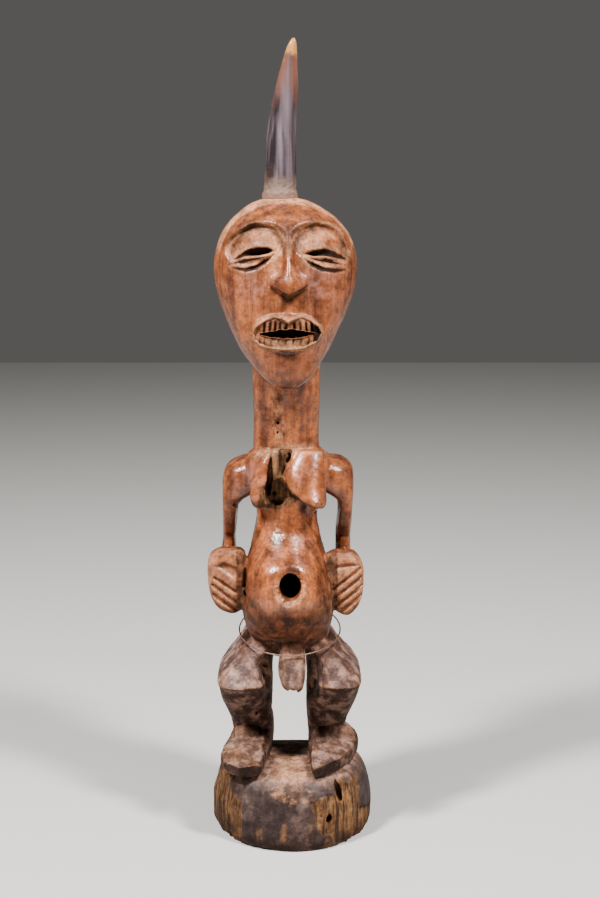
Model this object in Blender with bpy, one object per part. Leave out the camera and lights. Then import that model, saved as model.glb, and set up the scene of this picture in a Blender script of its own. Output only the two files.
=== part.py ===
# A carved wooden power figure standing on its drum-shaped base, an animal horn seated in its crown
# and an iron wire hoop around its hips. The front faces -Y, +X is the viewer's right, +Z is up and
# the origin is the centre of the base's flat underside. Sizes are millimetres until skin() turns
# them to metres.

import math

import bmesh
import bpy
from mathutils import Vector

MM = 0.001
CLEARANCE = 0.3              # between two separate pieces that touch

# The hollow in the belly
BORE_CENTRE = (-1.7, 221.6)
BORE_HALF = (9.2, 11.2)
BORE_DEPTH = 38.0
BORE_RIM = 4.5               # how far the worn rim stands outside the bore

# The wire hoop: a slack ellipse, its front lower than its back
HOOP_CENTRE = (-2.4, 171.0)
HOOP_HALF_WIDTH = 43.2
HOOP_DROP = 10.0
HOOP_GAP = 1.8               # between the wire and the wood before and behind it
WIRE_RADIUS = 0.65

# The axis of the face and the tools of its carving
FACE_X = -2.6
SOCKET_DEEP = 5.6
LID_PROUD = 6.6
NOSE_PROUD = 13.0
LIPS_PROUD = 5.0

# Each stack lists (height, left, right, front, back, squareness), rising.
BASE = [
    (0.0, -66.0, 66.0, -67.0, 67.0, 2.0),
    (6.0, -68.6, 68.4, -68.6, 68.6, 2.0),
    (26.0, -68.5, 67.6, -68.4, 68.0, 2.05),
    (38.0, -65.4, 65.4, -67.8, 66.0, 2.1),
    (47.0, -63.6, 62.6, -66.0, 63.0, 2.15),
    (54.0, -60.0, 58.8, -61.8, 58.0, 2.2),
    (59.0, -54.4, 53.4, -55.0, 51.0, 2.2),
    (61.4, -48.0, 47.0, -47.0, 45.0, 2.2),
    (62.5, -40.0, 39.0, -38.0, 38.0, 2.2),
]
LEG_LEFT = [
    (64.0, -49.0, -17.6, -7.0, 28.0, 2.6),
    (80.0, -51.2, -16.2, -9.0, 29.0, 2.6),
    (92.0, -53.0, -16.4, -13.0, 28.0, 2.7),
    (104.0, -57.0, -19.0, -20.0, 27.0, 2.9),
    (114.0, -60.2, -21.6, -28.0, 26.0, 3.1),
    (124.0, -62.0, -22.4, -36.5, 26.5, 3.3),
    (129.5, -62.6, -22.6, -41.5, 28.5, 3.5),
    (133.0, -63.6, -23.0, -45.6, 32.0, 3.6),
    (138.0, -62.8, -23.4, -43.8, 40.0, 3.2),
    (143.0, -59.6, -23.8, -40.8, 45.0, 3.0),
    (149.0, -54.6, -23.0, -36.0, 49.0, 2.8),
    (155.0, -49.4, -19.0, -30.4, 51.0, 2.6),
    (161.0, -45.4, -12.0, -22.8, 50.0, 2.5),
    (167.0, -42.0, -8.0, -14.4, 46.0, 2.4),
    (176.0, -37.0, -6.0, -4.0, 39.0, 2.3),
]
# The inner side of each thigh, which stands nearer the middle behind the hewn front of the leg.
THIGH_LEFT = [
    (98.0, -44.0, -17.4, -6.0, 30.0, 3.0),
    (114.0, -46.0, -17.2, -12.0, 34.0, 3.0),
    (134.0, -48.0, -17.0, -16.0, 40.0, 3.0),
    (152.0, -44.0, -16.6, -12.0, 44.0, 2.8),
    (164.0, -36.0, -15.0, -2.0, 44.0, 2.6),
]
THIGH_RIGHT = [
    (98.0, 11.8, 38.0, -6.0, 30.0, 3.0),
    (114.0, 11.6, 42.0, -12.0, 34.0, 3.0),
    (134.0, 11.4, 44.0, -16.0, 40.0, 3.0),
    (152.0, 11.2, 40.0, -12.0, 44.0, 2.8),
    (164.0, 9.0, 32.0, -2.0, 44.0, 2.6),
]
LEG_RIGHT = [
    (65.3, 13.6, 44.0, -7.0, 28.0, 2.6),
    (80.0, 13.2, 45.4, -9.0, 29.0, 2.6),
    (92.0, 12.2, 46.8, -13.0, 28.0, 2.7),
    (104.0, 11.6, 50.8, -20.0, 27.0, 2.9),
    (114.0, 11.4, 54.0, -28.0, 26.0, 3.1),
    (122.0, 16.8, 56.0, -35.0, 26.5, 3.3),
    (129.5, 20.6, 57.2, -41.5, 28.5, 3.5),
    (133.0, 21.0, 58.2, -45.4, 32.0, 3.6),
    (138.0, 20.8, 57.4, -43.6, 40.0, 3.2),
    (143.0, 20.2, 54.6, -40.6, 45.0, 3.0),
    (149.0, 18.8, 49.8, -35.8, 49.0, 2.8),
    (155.0, 14.0, 43.6, -30.2, 51.0, 2.6),
    (161.0, 7.0, 38.6, -22.6, 50.0, 2.5),
    (167.0, 3.0, 34.8, -14.2, 46.0, 2.4),
    (176.0, 0.0, 30.0, -4.0, 39.0, 2.3),
]
TORSO = [
    (147.0, -22.0, 15.0, -2.0, 44.0, 2.2),
    (153.0, -28.0, 21.0, -16.0, 48.0, 2.2),
    (160.0, -33.0, 27.0, -25.0, 49.0, 2.2),
    (168.0, -37.0, 30.4, -34.0, 47.0, 2.2),
    (176.0, -39.6, 32.4, -43.0, 44.0, 2.3),
    (186.0, -41.6, 34.0, -51.6, 42.0, 2.4),
    (197.0, -42.4, 35.2, -58.2, 42.0, 2.45),
    (210.0, -42.0, 34.0, -60.6, 40.0, 2.5),
    (222.0, -41.0, 32.0, -59.0, 39.0, 2.5),
    (232.0, -39.6, 30.0, -54.0, 38.5, 2.45),
    (240.0, -37.0, 27.4, -47.5, 38.5, 2.4),
    (249.0, -34.4, 25.0, -39.0, 38.5, 2.35),
    (259.0, -32.2, 22.6, -30.5, 38.5, 2.3),
    (270.0, -30.6, 20.8, -24.0, 38.0, 2.3),
    (280.0, -31.0, 22.6, -21.6, 37.5, 2.3),
    (290.0, -36.0, 27.0, -22.0, 37.0, 2.4),
    (300.0, -40.0, 32.0, -23.4, 37.5, 2.6),
    (312.0, -42.0, 34.0, -24.0, 39.0, 2.7),
    (319.0, -40.0, 32.0, -23.6, 39.6, 2.7),
    (323.5, -35.4, 26.4, -22.6, 39.0, 2.7),
    (328.4, -30.4, 21.4, -20.0, 36.6, 2.6),
]
ARM_LEFT = [
    (228.6, -57.0, -49.6, 1.0, 17.0, 2.4),
    (233.0, -60.2, -47.4, -4.0, 22.0, 2.6),
    (241.0, -60.0, -48.0, -4.0, 24.0, 2.8),
    (250.0, -59.2, -48.4, -2.0, 24.6, 2.8),
    (262.0, -59.0, -47.2, -3.0, 26.0, 2.8),
    (276.0, -59.2, -46.0, -6.0, 28.0, 2.8),
    (284.0, -59.2, -41.5, -9.0, 30.0, 2.8),
    (290.0, -59.2, -30.0, -11.0, 32.0, 2.8),
    (298.0, -59.2, -16.0, -13.0, 33.4, 2.7),
    (308.0, -57.2, -13.0, -12.6, 34.0, 2.6),
    (314.0, -53.0, -13.0, -9.6, 33.0, 2.5),
    (318.6, -44.0, -14.0, -4.0, 29.0, 2.4),
]
ARM_RIGHT = [
    (228.6, 38.6, 47.0, 1.0, 17.0, 2.4),
    (233.0, 36.4, 50.0, -4.0, 22.0, 2.6),
    (241.0, 36.4, 49.4, -4.0, 24.0, 2.8),
    (250.0, 36.4, 49.2, -2.0, 24.6, 2.8),
    (262.0, 37.0, 49.8, -3.0, 26.0, 2.8),
    (276.0, 38.2, 50.4, -6.0, 28.0, 2.8),
    (283.0, 37.4, 50.8, -9.0, 30.0, 2.8),
    (290.0, 28.0, 51.2, -11.0, 32.0, 2.8),
    (298.0, 8.0, 51.4, -13.0, 33.4, 2.7),
    (308.0, 5.0, 51.0, -12.6, 34.0, 2.6),
    (314.0, 5.0, 48.2, -9.6, 33.0, 2.5),
    (318.6, 6.0, 42.0, -4.0, 29.0, 2.4),
]
HAND_LEFT = [
    (190.8, -54.0, -46.4, -22.0, -11.0, 2.2),
    (193.6, -60.0, -42.6, -25.0, -9.0, 2.6),
    (198.0, -64.4, -40.6, -26.6, -8.0, 3.0),
    (206.0, -68.2, -39.0, -27.6, -7.4, 3.2),
    (216.0, -70.2, -38.0, -28.2, -7.0, 3.2),
    (227.0, -70.8, -38.0, -28.4, -7.0, 3.2),
    (236.0, -70.2, -38.6, -28.4, -6.4, 3.2),
    (242.0, -67.4, -39.4, -27.4, -4.0, 3.0),
    (245.2, -62.4, -42.4, -24.6, -6.0, 2.5),
]
HAND_RIGHT = [
    (189.2, 41.6, 48.4, -22.0, -11.0, 2.2),
    (192.4, 36.6, 51.6, -25.0, -9.0, 2.6),
    (198.0, 31.6, 55.4, -26.6, -8.0, 3.0),
    (207.0, 29.4, 58.6, -27.6, -7.4, 3.2),
    (217.0, 28.0, 59.4, -28.2, -7.0, 3.2),
    (227.0, 27.2, 59.4, -28.4, -7.0, 3.2),
    (235.0, 26.6, 57.6, -28.4, -6.4, 3.2),
    (240.0, 27.8, 54.6, -27.2, -4.0, 3.0),
    (243.4, 33.0, 51.0, -24.6, -6.0, 2.5),
]
BREAST_LEFT = [
    (280.5, -31.0, -22.0, -25.0, -10.0, 2.2),
    (284.0, -33.4, -19.8, -31.0, -10.0, 2.4),
    (291.0, -35.0, -19.0, -34.0, -10.0, 2.5),
    (301.0, -34.2, -18.6, -32.0, -10.0, 2.5),
    (312.0, -30.6, -17.6, -29.0, -10.0, 2.5),
    (321.0, -25.4, -16.8, -26.0, -10.0, 2.5),
    (326.5, -21.6, -16.6, -23.0, -10.0, 2.3),
]
BREAST_RIGHT = [
    (281.4, 18.6, 24.4, -37.0, -10.0, 2.1),
    (284.0, 13.4, 27.2, -43.0, -10.0, 2.1),
    (288.0, 7.0, 28.2, -44.4, -10.0, 2.15),
    (293.0, -0.6, 27.8, -42.0, -10.0, 2.2),
    (298.0, -5.2, 27.4, -39.4, -10.0, 2.2),
    (306.0, -7.2, 27.0, -35.6, -10.0, 2.3),
    (315.0, -5.0, 26.4, -31.0, -10.0, 2.4),
    (323.0, 0.0, 25.8, -26.4, -10.0, 2.4),
    (328.0, 3.0, 24.6, -23.0, -10.0, 2.3),
]
PEG = [
    (127.6, -1.0, 5.8, -41.0, -30.0, 2.2),
    (131.0, -7.6, 9.2, -43.6, -27.0, 2.4),
    (138.0, -10.6, 10.4, -45.0, -25.0, 2.6),
    (148.0, -12.0, 11.0, -45.2, -24.0, 2.7),
    (158.0, -10.8, 10.8, -43.6, -20.0, 2.7),
    (167.0, -10.0, 10.2, -41.6, -14.0, 2.6),
    (175.0, -9.4, 9.8, -38.0, -10.0, 2.5),
]
NECK = [
    (315.0, -33.4, 23.6, -16.8, 38.6, 2.5),
    (335.0, -32.8, 22.2, -15.6, 37.4, 2.5),
    (352.0, -32.6, 22.4, -15.6, 37.4, 2.5),
    (372.0, -33.3, 23.2, -16.4, 38.0, 2.5),
    (396.0, -33.4, 23.2, -18.0, 38.4, 2.5),
    (412.0, -34.0, 24.0, -20.0, 39.0, 2.4),
]
HEAD = [
    (381.6, -8.0, 2.0, -47.0, -38.0, 2.1),
    (384.6, -14.6, 7.2, -50.2, -30.0, 2.2),
    (390.0, -22.4, 14.4, -52.6, -20.0, 2.3),
    (396.0, -28.6, 19.4, -53.6, -4.0, 2.4),
    (401.6, -34.4, 23.6, -54.0, 22.0, 2.45),
    (408.0, -40.2, 28.0, -54.0, 40.0, 2.45),
    (415.0, -44.6, 32.2, -53.6, 49.0, 2.45),
    (425.0, -49.6, 36.8, -52.6, 56.0, 2.45),
    (435.0, -54.4, 42.0, -51.4, 60.6, 2.4),
    (445.0, -58.4, 46.2, -50.2, 63.8, 2.4),
    (455.0, -61.6, 50.0, -49.4, 65.6, 2.4),
    (465.0, -63.6, 52.2, -48.8, 66.6, 2.4),
    (477.0, -64.9, 53.5, -48.4, 66.4, 2.4),
    (486.0, -64.0, 52.7, -47.8, 65.0, 2.4),
    (496.0, -61.6, 50.4, -46.2, 61.8, 2.35),
    (504.0, -58.6, 46.8, -43.8, 57.4, 2.3),
    (511.0, -54.4, 41.8, -40.2, 52.0, 2.25),
    (518.0, -48.2, 35.2, -34.4, 45.0, 2.2),
    (524.0, -41.4, 27.2, -27.4, 36.6, 2.15),
    (529.0, -34.0, 18.4, -18.6, 27.0, 2.1),
    (532.2, -25.8, 10.0, -9.4, 18.0, 2.0),
    (533.6, -19.0, 3.0, -3.0, 12.0, 2.0),
]

# Each foot lists (station from front to back, left, right, sole, top, squareness).
FOOT_LEFT = [
    (-57.6, -45.0, -28.6, 61.4, 69.6, 2.6),
    (-54.4, -50.4, -25.6, 60.4, 72.6, 3.0),
    (-44.0, -58.0, -24.0, 59.0, 76.6, 2.9),
    (-32.0, -60.6, -22.0, 57.0, 81.4, 2.5),
    (-16.0, -57.0, -19.0, 55.0, 87.4, 2.2),
    (2.0, -52.4, -17.4, 53.0, 93.0, 2.2),
    (18.0, -50.0, -18.4, 51.0, 88.0, 2.3),
    (28.9, -45.0, -23.0, 49.0, 76.0, 2.3),
]
FOOT_RIGHT = [
    (-58.0, 17.6, 23.6, 61.4, 69.0, 2.4),
    (-55.4, 16.2, 27.4, 60.6, 71.6, 2.8),
    (-44.0, 15.4, 37.0, 59.2, 75.4, 2.9),
    (-30.0, 14.4, 47.0, 57.4, 80.4, 2.7),
    (-16.0, 13.6, 54.0, 55.4, 86.0, 2.3),
    (-4.0, 13.2, 56.6, 54.0, 91.0, 2.2),
    (10.0, 13.6, 50.4, 52.0, 90.6, 2.2),
    (27.7, 18.0, 41.0, 49.0, 76.0, 2.3),
]

# The horn lists (height, centre x, centre y, radius).
HORN = [
    (529.6, -10.1, 6.6, 13.6),
    (533.0, -10.1, 6.6, 15.2),
    (536.4, -10.1, 6.6, 15.2),
    (540.5, -10.1, 6.8, 13.9),
    (553.0, -9.7, 7.2, 13.4),
    (566.0, -9.2, 7.8, 13.1),
    (578.0, -9.1, 8.2, 12.9),
    (591.0, -8.3, 8.4, 12.2),
    (604.0, -7.1, 8.2, 11.0),
    (616.6, -5.1, 7.6, 9.7),
    (629.0, -3.8, 6.6, 8.3),
    (642.0, -2.1, 5.2, 6.1),
    (653.0, -0.3, 3.8, 4.1),
    (658.0, 0.7, 3.2, 2.4),
    (660.0, 1.1, 3.0, 1.0),
]

# Straight cuts between the fingers, each from its outer to its inner end: (x, z), (x, z).
CUTS_LEFT = [
    ((-64.4, 222.4), (-47.4, 210.2)),
    ((-66.2, 216.4), (-47.2, 201.2)),
    ((-65.6, 207.8), (-46.2, 193.6)),
]
CUTS_RIGHT = [
    ((56.0, 230.2), (33.6, 212.0)),
    ((57.0, 222.8), (35.0, 204.8)),
    ((57.8, 215.4), (36.0, 197.2)),
    ((57.6, 207.6), (39.6, 192.2)),
]
FOREARM_LEFT = [(-61.0, 228.0), (-45.6, 228.0), (-46.6, 238.6), (-60.0, 238.6)]
FOREARM_RIGHT = [(34.8, 227.4), (50.6, 227.4), (49.6, 237.6), (36.0, 237.6)]
UPPER_TEETH = (-22.1, -17.4, -13.3, -9.2, 1.9, 8.4, 14.6, 19.8)
LOWER_TEETH = (-21.6, -16.2, -10.8, -4.8, 1.2, 7.1, 13.0)


# The row of sizes at a height, following the listed rows smoothly and never past them.
def sizes_at(rows, height):
    last = len(rows) - 1
    k = 0
    while k < last - 1 and height > rows[k + 1][0]:
        k += 1
    gap = rows[k + 1][0] - rows[k][0]
    t = min(1.0, max(0.0, (height - rows[k][0]) / gap))

    def lean(i, c):
        before = (rows[i][c] - rows[i - 1][c]) / (rows[i][0] - rows[i - 1][0]) if i > 0 else None
        after = (rows[i + 1][c] - rows[i][c]) / (rows[i + 1][0] - rows[i][0]) if i < last else None
        if before is None or after is None:
            return after if before is None else before
        return 2.0 * before * after / (before + after) if before * after > 0.0 else 0.0

    sizes = []
    for c in range(1, len(rows[0])):
        low, high = rows[k][c], rows[k + 1][c]
        rise, fall = lean(k, c) * gap, lean(k + 1, c) * gap
        sizes.append(low * (2 * t**3 - 3 * t**2 + 1) + high * (3 * t**2 - 2 * t**3)
                     + rise * (t**3 - 2 * t**2 + t) + fall * (t**3 - t**2))
    return sizes


# The listed heights with even steps between them.
def levels_of(rows, step):
    levels = []
    for low, high in zip(rows, rows[1:]):
        count = max(1, round((high[0] - low[0]) / step))
        levels += [low[0] + (high[0] - low[0]) * i / count for i in range(count)]
    return levels + [rows[-1][0]]


# A closed mesh object over rings of points. Each end is closed by one flat face, or the last ring
# joins the first.
def skin(name, rings, looped=False):
    shape = bmesh.new()
    loops = [[shape.verts.new(Vector(p) * MM) for p in ring] for ring in rings]
    following = loops[1:] + loops[:1] if looped else loops[1:]
    for low, high in zip(loops, following):
        for i in range(len(low)):
            j = (i + 1) % len(low)
            shape.faces.new((low[i], low[j], high[j], high[i]))
    if not looped:
        shape.faces.new(list(reversed(loops[0])))
        shape.faces.new(loops[-1])
    bmesh.ops.recalc_face_normals(shape, faces=shape.faces)
    mesh = bpy.data.meshes.new(name)
    shape.to_mesh(mesh)
    shape.free()
    thing = bpy.data.objects.new(name, mesh)
    bpy.context.scene.collection.objects.link(thing)
    return thing


def signed_power(value, power):
    return math.copysign(abs(value) ** power, value)


# A rounded body built of level outlines. crowd gathers the columns toward the front, carve moves
# each point, and lying turns the stack so that its rows run from front to back.
def stack(name, rows, columns, step, crowd=0.0, carve=None, lying=False, widest=0.5):
    rings = []
    for level in levels_of(rows, step):
        left, right, front, back, square = sizes_at(rows, level)
        middle = front + (back - front) * widest
        ring = []
        for i in range(columns):
            t = 2.0 * math.pi * (i + 0.5) / columns - math.pi
            turn = t - crowd * math.sin(t) - math.pi / 2.0
            across = signed_power(math.cos(turn), 2.0 / square)
            along = signed_power(math.sin(turn), 2.0 / square)
            x = (left + right) / 2.0 + across * (right - left) / 2.0
            y = middle + along * (middle - front if along < 0.0 else back - middle)
            point = (x, level, y) if lying else (x, y, level)
            ring.append(carve(*point) if carve else point)
        rings.append(ring)
    return skin(name, rings)


# A block cut to an outline of (x, z) points, standing from one depth to another. The far end can be
# drawn toward the outline's middle.
def block(name, outline, front, back, far=1.0):
    cx = sum(p[0] for p in outline) / len(outline)
    cz = sum(p[1] for p in outline) / len(outline)
    near_ring = [(x, front, z) for x, z in outline]
    far_ring = [(cx + (x - cx) * far, back, cz + (z - cz) * far) for x, z in outline]
    return skin(name, [near_ring, far_ring])


# The outline of a pointed lens between two ends, so far above and below its chord.
def lens(start, end, above, below, count=8):
    dx, dz = end[0] - start[0], end[1] - start[1]
    length = math.hypot(dx, dz)
    nx, nz = -dz / length, dx / length
    outline = []
    for i in range(count + 1):
        t = i / count
        rise = above * math.sin(math.pi * t)
        outline.append((start[0] + dx * t + nx * rise, start[1] + dz * t + nz * rise))
    for i in range(1, count):
        t = 1.0 - i / count
        fall = -below * math.sin(math.pi * t)
        outline.append((start[0] + dx * t + nx * fall, start[1] + dz * t + nz * fall))
    return outline


# A straight cut of triangular section between two (x, z) ends, so wide at the front and closing
# to a line at its depth.
def groove(name, start, end, wide, front, deep):
    dx, dz = end[0] - start[0], end[1] - start[1]
    length = math.hypot(dx, dz)
    nx, nz = -dz / length * wide / 2.0, dx / length * wide / 2.0
    rings = []
    for x, z in (start, end):
        rings.append([(x - nx, front, z - nz), (x + nx, front, z + nz), (x, front + deep, z)])
    return skin(name, rings)


# One object made of several that don't touch each other.
def gather(name, things):
    shape = bmesh.new()
    for thing in things:
        shape.from_mesh(thing.data)
        bpy.data.objects.remove(thing, do_unlink=True)
    mesh = bpy.data.meshes.new(name)
    shape.to_mesh(mesh)
    shape.free()
    whole = bpy.data.objects.new(name, mesh)
    bpy.context.scene.collection.objects.link(whole)
    return whole


def combine(body, tool, how):
    change = body.modifiers.new(tool.name, "BOOLEAN")
    change.solver = "EXACT"
    change.operation = how
    change.object = tool
    tool.hide_render = True
    tool.display_type = "WIRE"


def rise(value, low, high):
    t = min(1.0, max(0.0, (value - low) / (high - low)))
    return t * t * (3.0 - 2.0 * t)


# How far the carving of the face stands forward of the plain head at (x, z).
def face_relief(x, z):
    u = x - FACE_X
    side = -1.0 if u < 0.0 else 1.0
    # The almond sockets under the brows, their outer ends lower.
    cx, cz, tilt = side * 26.6, 496.2, side * -0.30
    du, dz = u - cx, z - cz
    su = du * math.cos(tilt) + dz * math.sin(tilt)
    sz = dz * math.cos(tilt) - du * math.sin(tilt)
    reach = math.sqrt((su / 25.5) ** 2 + (sz / 16.5) ** 2)
    out = -SOCKET_DEEP * (1.0 - rise(reach, 0.78, 1.04))
    out += 1.2 * math.exp(-((reach - 1.12) / 0.09) ** 2) * rise(z, 488.0, 500.0)
    # The swollen lids within them.
    lid = math.sqrt((su / 21.0) ** 2 + ((sz + 4.6) / 9.4) ** 2)
    out += LID_PROUD * max(0.0, 1.0 - lid * lid) ** 0.7
    # The long nose, widening to its wings and cut off below in a V.
    down = rise(502.0 - z, 0.0, 42.0)
    half = 2.6 + 12.6 * ((502.0 - z) / 38.0) ** 1.2 if z < 502.0 else 2.6
    under = 458.0 + abs(u) * 0.55
    if z < 506.0 and abs(u) < half + 3.0:
        across = max(0.0, 1.0 - abs(u) / half)
        body = (2.5 + NOSE_PROUD * down) * across ** 0.62
        out = max(out, body * rise(z, under - 1.6, under + 1.6) * rise(506.0 - z, 0.0, 9.0))
    # The lips, standing out around the open mouth.
    lips = math.sqrt((abs(x + 4.0) / 29.5) ** 2.4 + (abs(z - 427.6) / (13.8 - abs(x + 4.0) * 0.1)) ** 2.4)
    out += LIPS_PROUD * (1.0 - rise(lips, 0.72, 1.12))
    return out


def carve_head(x, y, z):
    facing = rise(-y, -4.0, 26.0)
    return (x, y - face_relief(x, z) * facing * rise(z, 394.0, 410.0), z)


# The side of the base, fluted where the sound skin has rotted away, left and right of the front.
def carve_base(x, y, z):
    turn = math.atan2(x, -y)
    right = rise(turn, 0.50, 0.72) * (1.0 - rise(turn, 2.2, 2.6))
    left = rise(-turn, 0.62, 0.86) * (1.0 - rise(-turn, 2.3, 2.7))
    flutes = 0.5 + 0.5 * math.sin(turn * 23.0 + math.sin(z * 0.09) * 0.4)
    flutes += 0.35 * math.sin(turn * 41.0)
    upright = rise(z, -6.0, 8.0) * (1.0 - rise(z, 38.0, 52.0))
    loss = (right * 2.6 + left * 2.0) * max(0.0, flutes) * upright
    share = 1.0 - loss / max(1.0, math.hypot(x, y))
    fall = max(0.0, y - 12.0) ** 2 * 0.0052 * rise(z, 44.0, 60.0)
    return (x * share, y * share, z - fall)


for leftover in list(bpy.data.objects):
    bpy.data.objects.remove(leftover, do_unlink=True)

# The figure, all one block of wood.
figure = stack("figure", TORSO, 26, 14.0)
parts = [
    stack("head_form", HEAD, 38, 4.4, crowd=0.68, carve=carve_head),
    stack("neck_form", NECK, 22, 22.0),
    stack("arm_left_form", ARM_LEFT, 12, 14.0),
    stack("arm_right_form", ARM_RIGHT, 12, 14.0),
    stack("hand_left_form", HAND_LEFT, 14, 12.0),
    stack("hand_right_form", HAND_RIGHT, 14, 12.0),
    stack("breast_left_form", BREAST_LEFT, 14, 12.0),
    stack("breast_right_form", BREAST_RIGHT, 18, 9.0),
    stack("peg_form", PEG, 12, 12.0),
    stack("leg_left_form", LEG_LEFT, 16, 16.0),
    stack("leg_right_form", LEG_RIGHT, 16, 16.0),
    stack("thigh_left_form", THIGH_LEFT, 14, 18.0),
    stack("thigh_right_form", THIGH_RIGHT, 14, 18.0),
    stack("foot_left_form", FOOT_LEFT, 16, 16.0, lying=True),
    stack("foot_right_form", FOOT_RIGHT, 16, 16.0, lying=True),
    stack("base_form", BASE, 46, 14.0, carve=carve_base, widest=0.56),
    block("forearm_left_form", FOREARM_LEFT, -20.0, 17.0, far=0.8),
    block("forearm_right_form", FOREARM_RIGHT, -20.0, 17.0, far=0.8),
]
for part in parts:
    combine(figure, part, "UNION")

# The hollow in the belly, with its worn rim.
bore = []
rim = []
for i in range(24):
    turn = 2.0 * math.pi * i / 24
    bore.append((BORE_CENTRE[0] + BORE_HALF[0] * math.cos(turn),
                 BORE_CENTRE[1] + BORE_HALF[1] * math.sin(turn)))
    wear = BORE_RIM * (1.25 if math.sin(turn) < 0.0 and math.cos(turn) < 0.0 else 1.0)
    rim.append((BORE_CENTRE[0] + (BORE_HALF[0] + wear) * math.cos(turn),
                BORE_CENTRE[1] + (BORE_HALF[1] + wear) * math.sin(turn)))
combine(figure, block("belly_bore", bore, -70.0, -59.0 + BORE_DEPTH), "DIFFERENCE")
combine(figure, block("belly_rim", rim, -63.5, -53.0, far=0.66), "DIFFERENCE")

# The eyes, the mouth and the cuts that make its teeth.
slits = [
    block("slit_left", lens((-47.4, 481.2), (-18.6, 488.0), 2.4, 1.4), -60.0, -42.5),
    block("slit_right", lens((13.4, 487.6), (41.6, 481.0), 2.4, 1.4), -60.0, -42.5),
    block("mouth", lens((-30.6, 427.4), (23.4, 427.4), 3.4, 2.6, count=12), -70.0, -50.5),
]
for x in UPPER_TEETH:
    slits.append(groove("tooth_cut", (x, 431.6), (x * 0.96, 437.0), 2.2, -60.5, 5.0))
for x in LOWER_TEETH:
    slits.append(groove("tooth_cut", (x, 424.0), (x, 418.6), 1.8, -60.0, 4.6))
combine(figure, gather("face_cuts", slits), "DIFFERENCE")

# The fingers and the hollow under each thumb.
fingers = []
for start, end in CUTS_LEFT + CUTS_RIGHT:
    fingers.append(groove("finger_cut", start, end, 3.0, -29.6, 4.2))
fingers.append(block("palm_left", lens((-65.0, 233.4), (-44.4, 231.6), 3.4, 1.6), -34.0, -23.0))
fingers.append(block("palm_right", lens((33.6, 231.6), (55.4, 235.6), 2.6, 1.0), -34.0, -23.0))
combine(figure, gather("hand_cuts", fingers), "DIFFERENCE")

# Where the middle of the chest has split and rotted away.
crack = lens((-17.4, 332.0), (-20.6, 279.0), 3.0, 2.6)
combine(figure, block("chest_crack", crack, -50.0, -2.0, far=0.7), "DIFFERENCE")
chest = [(-12.6, 331.0), (1.4, 331.0), (-4.0, 318.0), (-8.0, 306.0), (-12.0, 306.0)]
rot = [(-24.0, 300.0), (-17.0, 302.4), (-11.6, 305.0), (-7.0, 301.0), (-2.0, 295.0), (3.4, 290.0),
       (1.6, 287.0), (-6.0, 285.4), (-9.4, 281.2), (-18.4, 282.6), (-23.0, 286.0)]
combine(figure, block("chest_loss", chest, -50.0, -14.0, far=0.9), "DIFFERENCE")
combine(figure, block("chest_rot", rot, -50.0, -13.0, far=0.85), "DIFFERENCE")

# The split and the holes in the base.
base_losses = [
    block("base_split", lens((33.6, 61.0), (40.6, 6.0), 3.0, 3.6), -80.0, -40.0, far=0.7),
    block("base_hole", lens((28.4, 20.0), (30.4, 31.0), 2.6, 2.4, count=5), -80.0, -46.0, far=0.7),
    block("base_split_left", lens((-54.6, 50.0), (-56.2, 8.0), 1.4, 1.4), -70.0, -30.0, far=0.7),
]
combine(figure, gather("base_cuts", base_losses), "DIFFERENCE")

# What is left of the toes, notched into the front of the left foot.
toes = []
for x in (-46.6, -39.4, -33.0):
    toes.append(groove("toe_cut", (x, 59.0), (x, 76.0), 2.4, -59.4, 3.4))
combine(figure, gather("toe_cuts", toes), "DIFFERENCE")


# The horn and the seat that it stands in.
def horn_rings(spare, sides):
    rings = []
    for level in levels_of(HORN, 11.0):
        x, y, radius = sizes_at(HORN, level)
        ring = []
        for i in range(sides):
            turn = 2.0 * math.pi * i / sides
            reach = radius + spare
            ring.append((x + reach * math.cos(turn), y + reach * math.sin(turn), level))
        rings.append(ring)
    return rings


horn = skin("horn", horn_rings(0.0, 18))
seat_rings = horn_rings(CLEARANCE, 18)[:6]
seat_rings[0] = [(x, y, z - CLEARANCE) for x, y, z in seat_rings[0]]
combine(figure, skin("horn_seat", seat_rings), "DIFFERENCE")


# The wire hoop, closed on itself. It hangs just before the peg and just behind the hips.
def hoop_rings(count, sides):
    low = HOOP_CENTRE[1] - HOOP_DROP
    front = sizes_at(PEG, low)[2] - HOOP_GAP - WIRE_RADIUS
    back = sizes_at(LEG_LEFT, low)[3] + HOOP_GAP + WIRE_RADIUS
    middle, half_depth = (front + back) / 2.0, (back - front) / 2.0
    upward = Vector((0.0, 0.0, 1.0))
    rings = []
    for i in range(count):
        turn = 2.0 * math.pi * i / count
        centre = Vector((HOOP_CENTRE[0] + HOOP_HALF_WIDTH * math.cos(turn),
                         middle + half_depth * math.sin(turn),
                         HOOP_CENTRE[1] + HOOP_DROP * math.sin(turn)))
        outward = Vector((math.cos(turn) / HOOP_HALF_WIDTH, math.sin(turn) / half_depth, 0.0)).normalized()
        ring = []
        for j in range(sides):
            roll = 2.0 * math.pi * j / sides
            ring.append(centre + (outward * math.cos(roll) + upward * math.sin(roll)) * WIRE_RADIUS)
        rings.append(ring)
    return rings


wire = skin("waist_wire", hoop_rings(48, 6), looped=True)


def finish(thing, name, colour, roughness, metallic=0.0):
    material = bpy.data.materials.new(name)
    material.use_nodes = True
    shader = material.node_tree.nodes["Principled BSDF"]
    shader.inputs["Base Color"].default_value = (*colour, 1.0)
    shader.inputs["Roughness"].default_value = roughness
    shader.inputs["Metallic"].default_value = metallic
    thing.data.materials.clear()
    thing.data.materials.append(material)
    for face in thing.data.polygons:
        face.use_smooth = thing.name != "figure"


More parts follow.
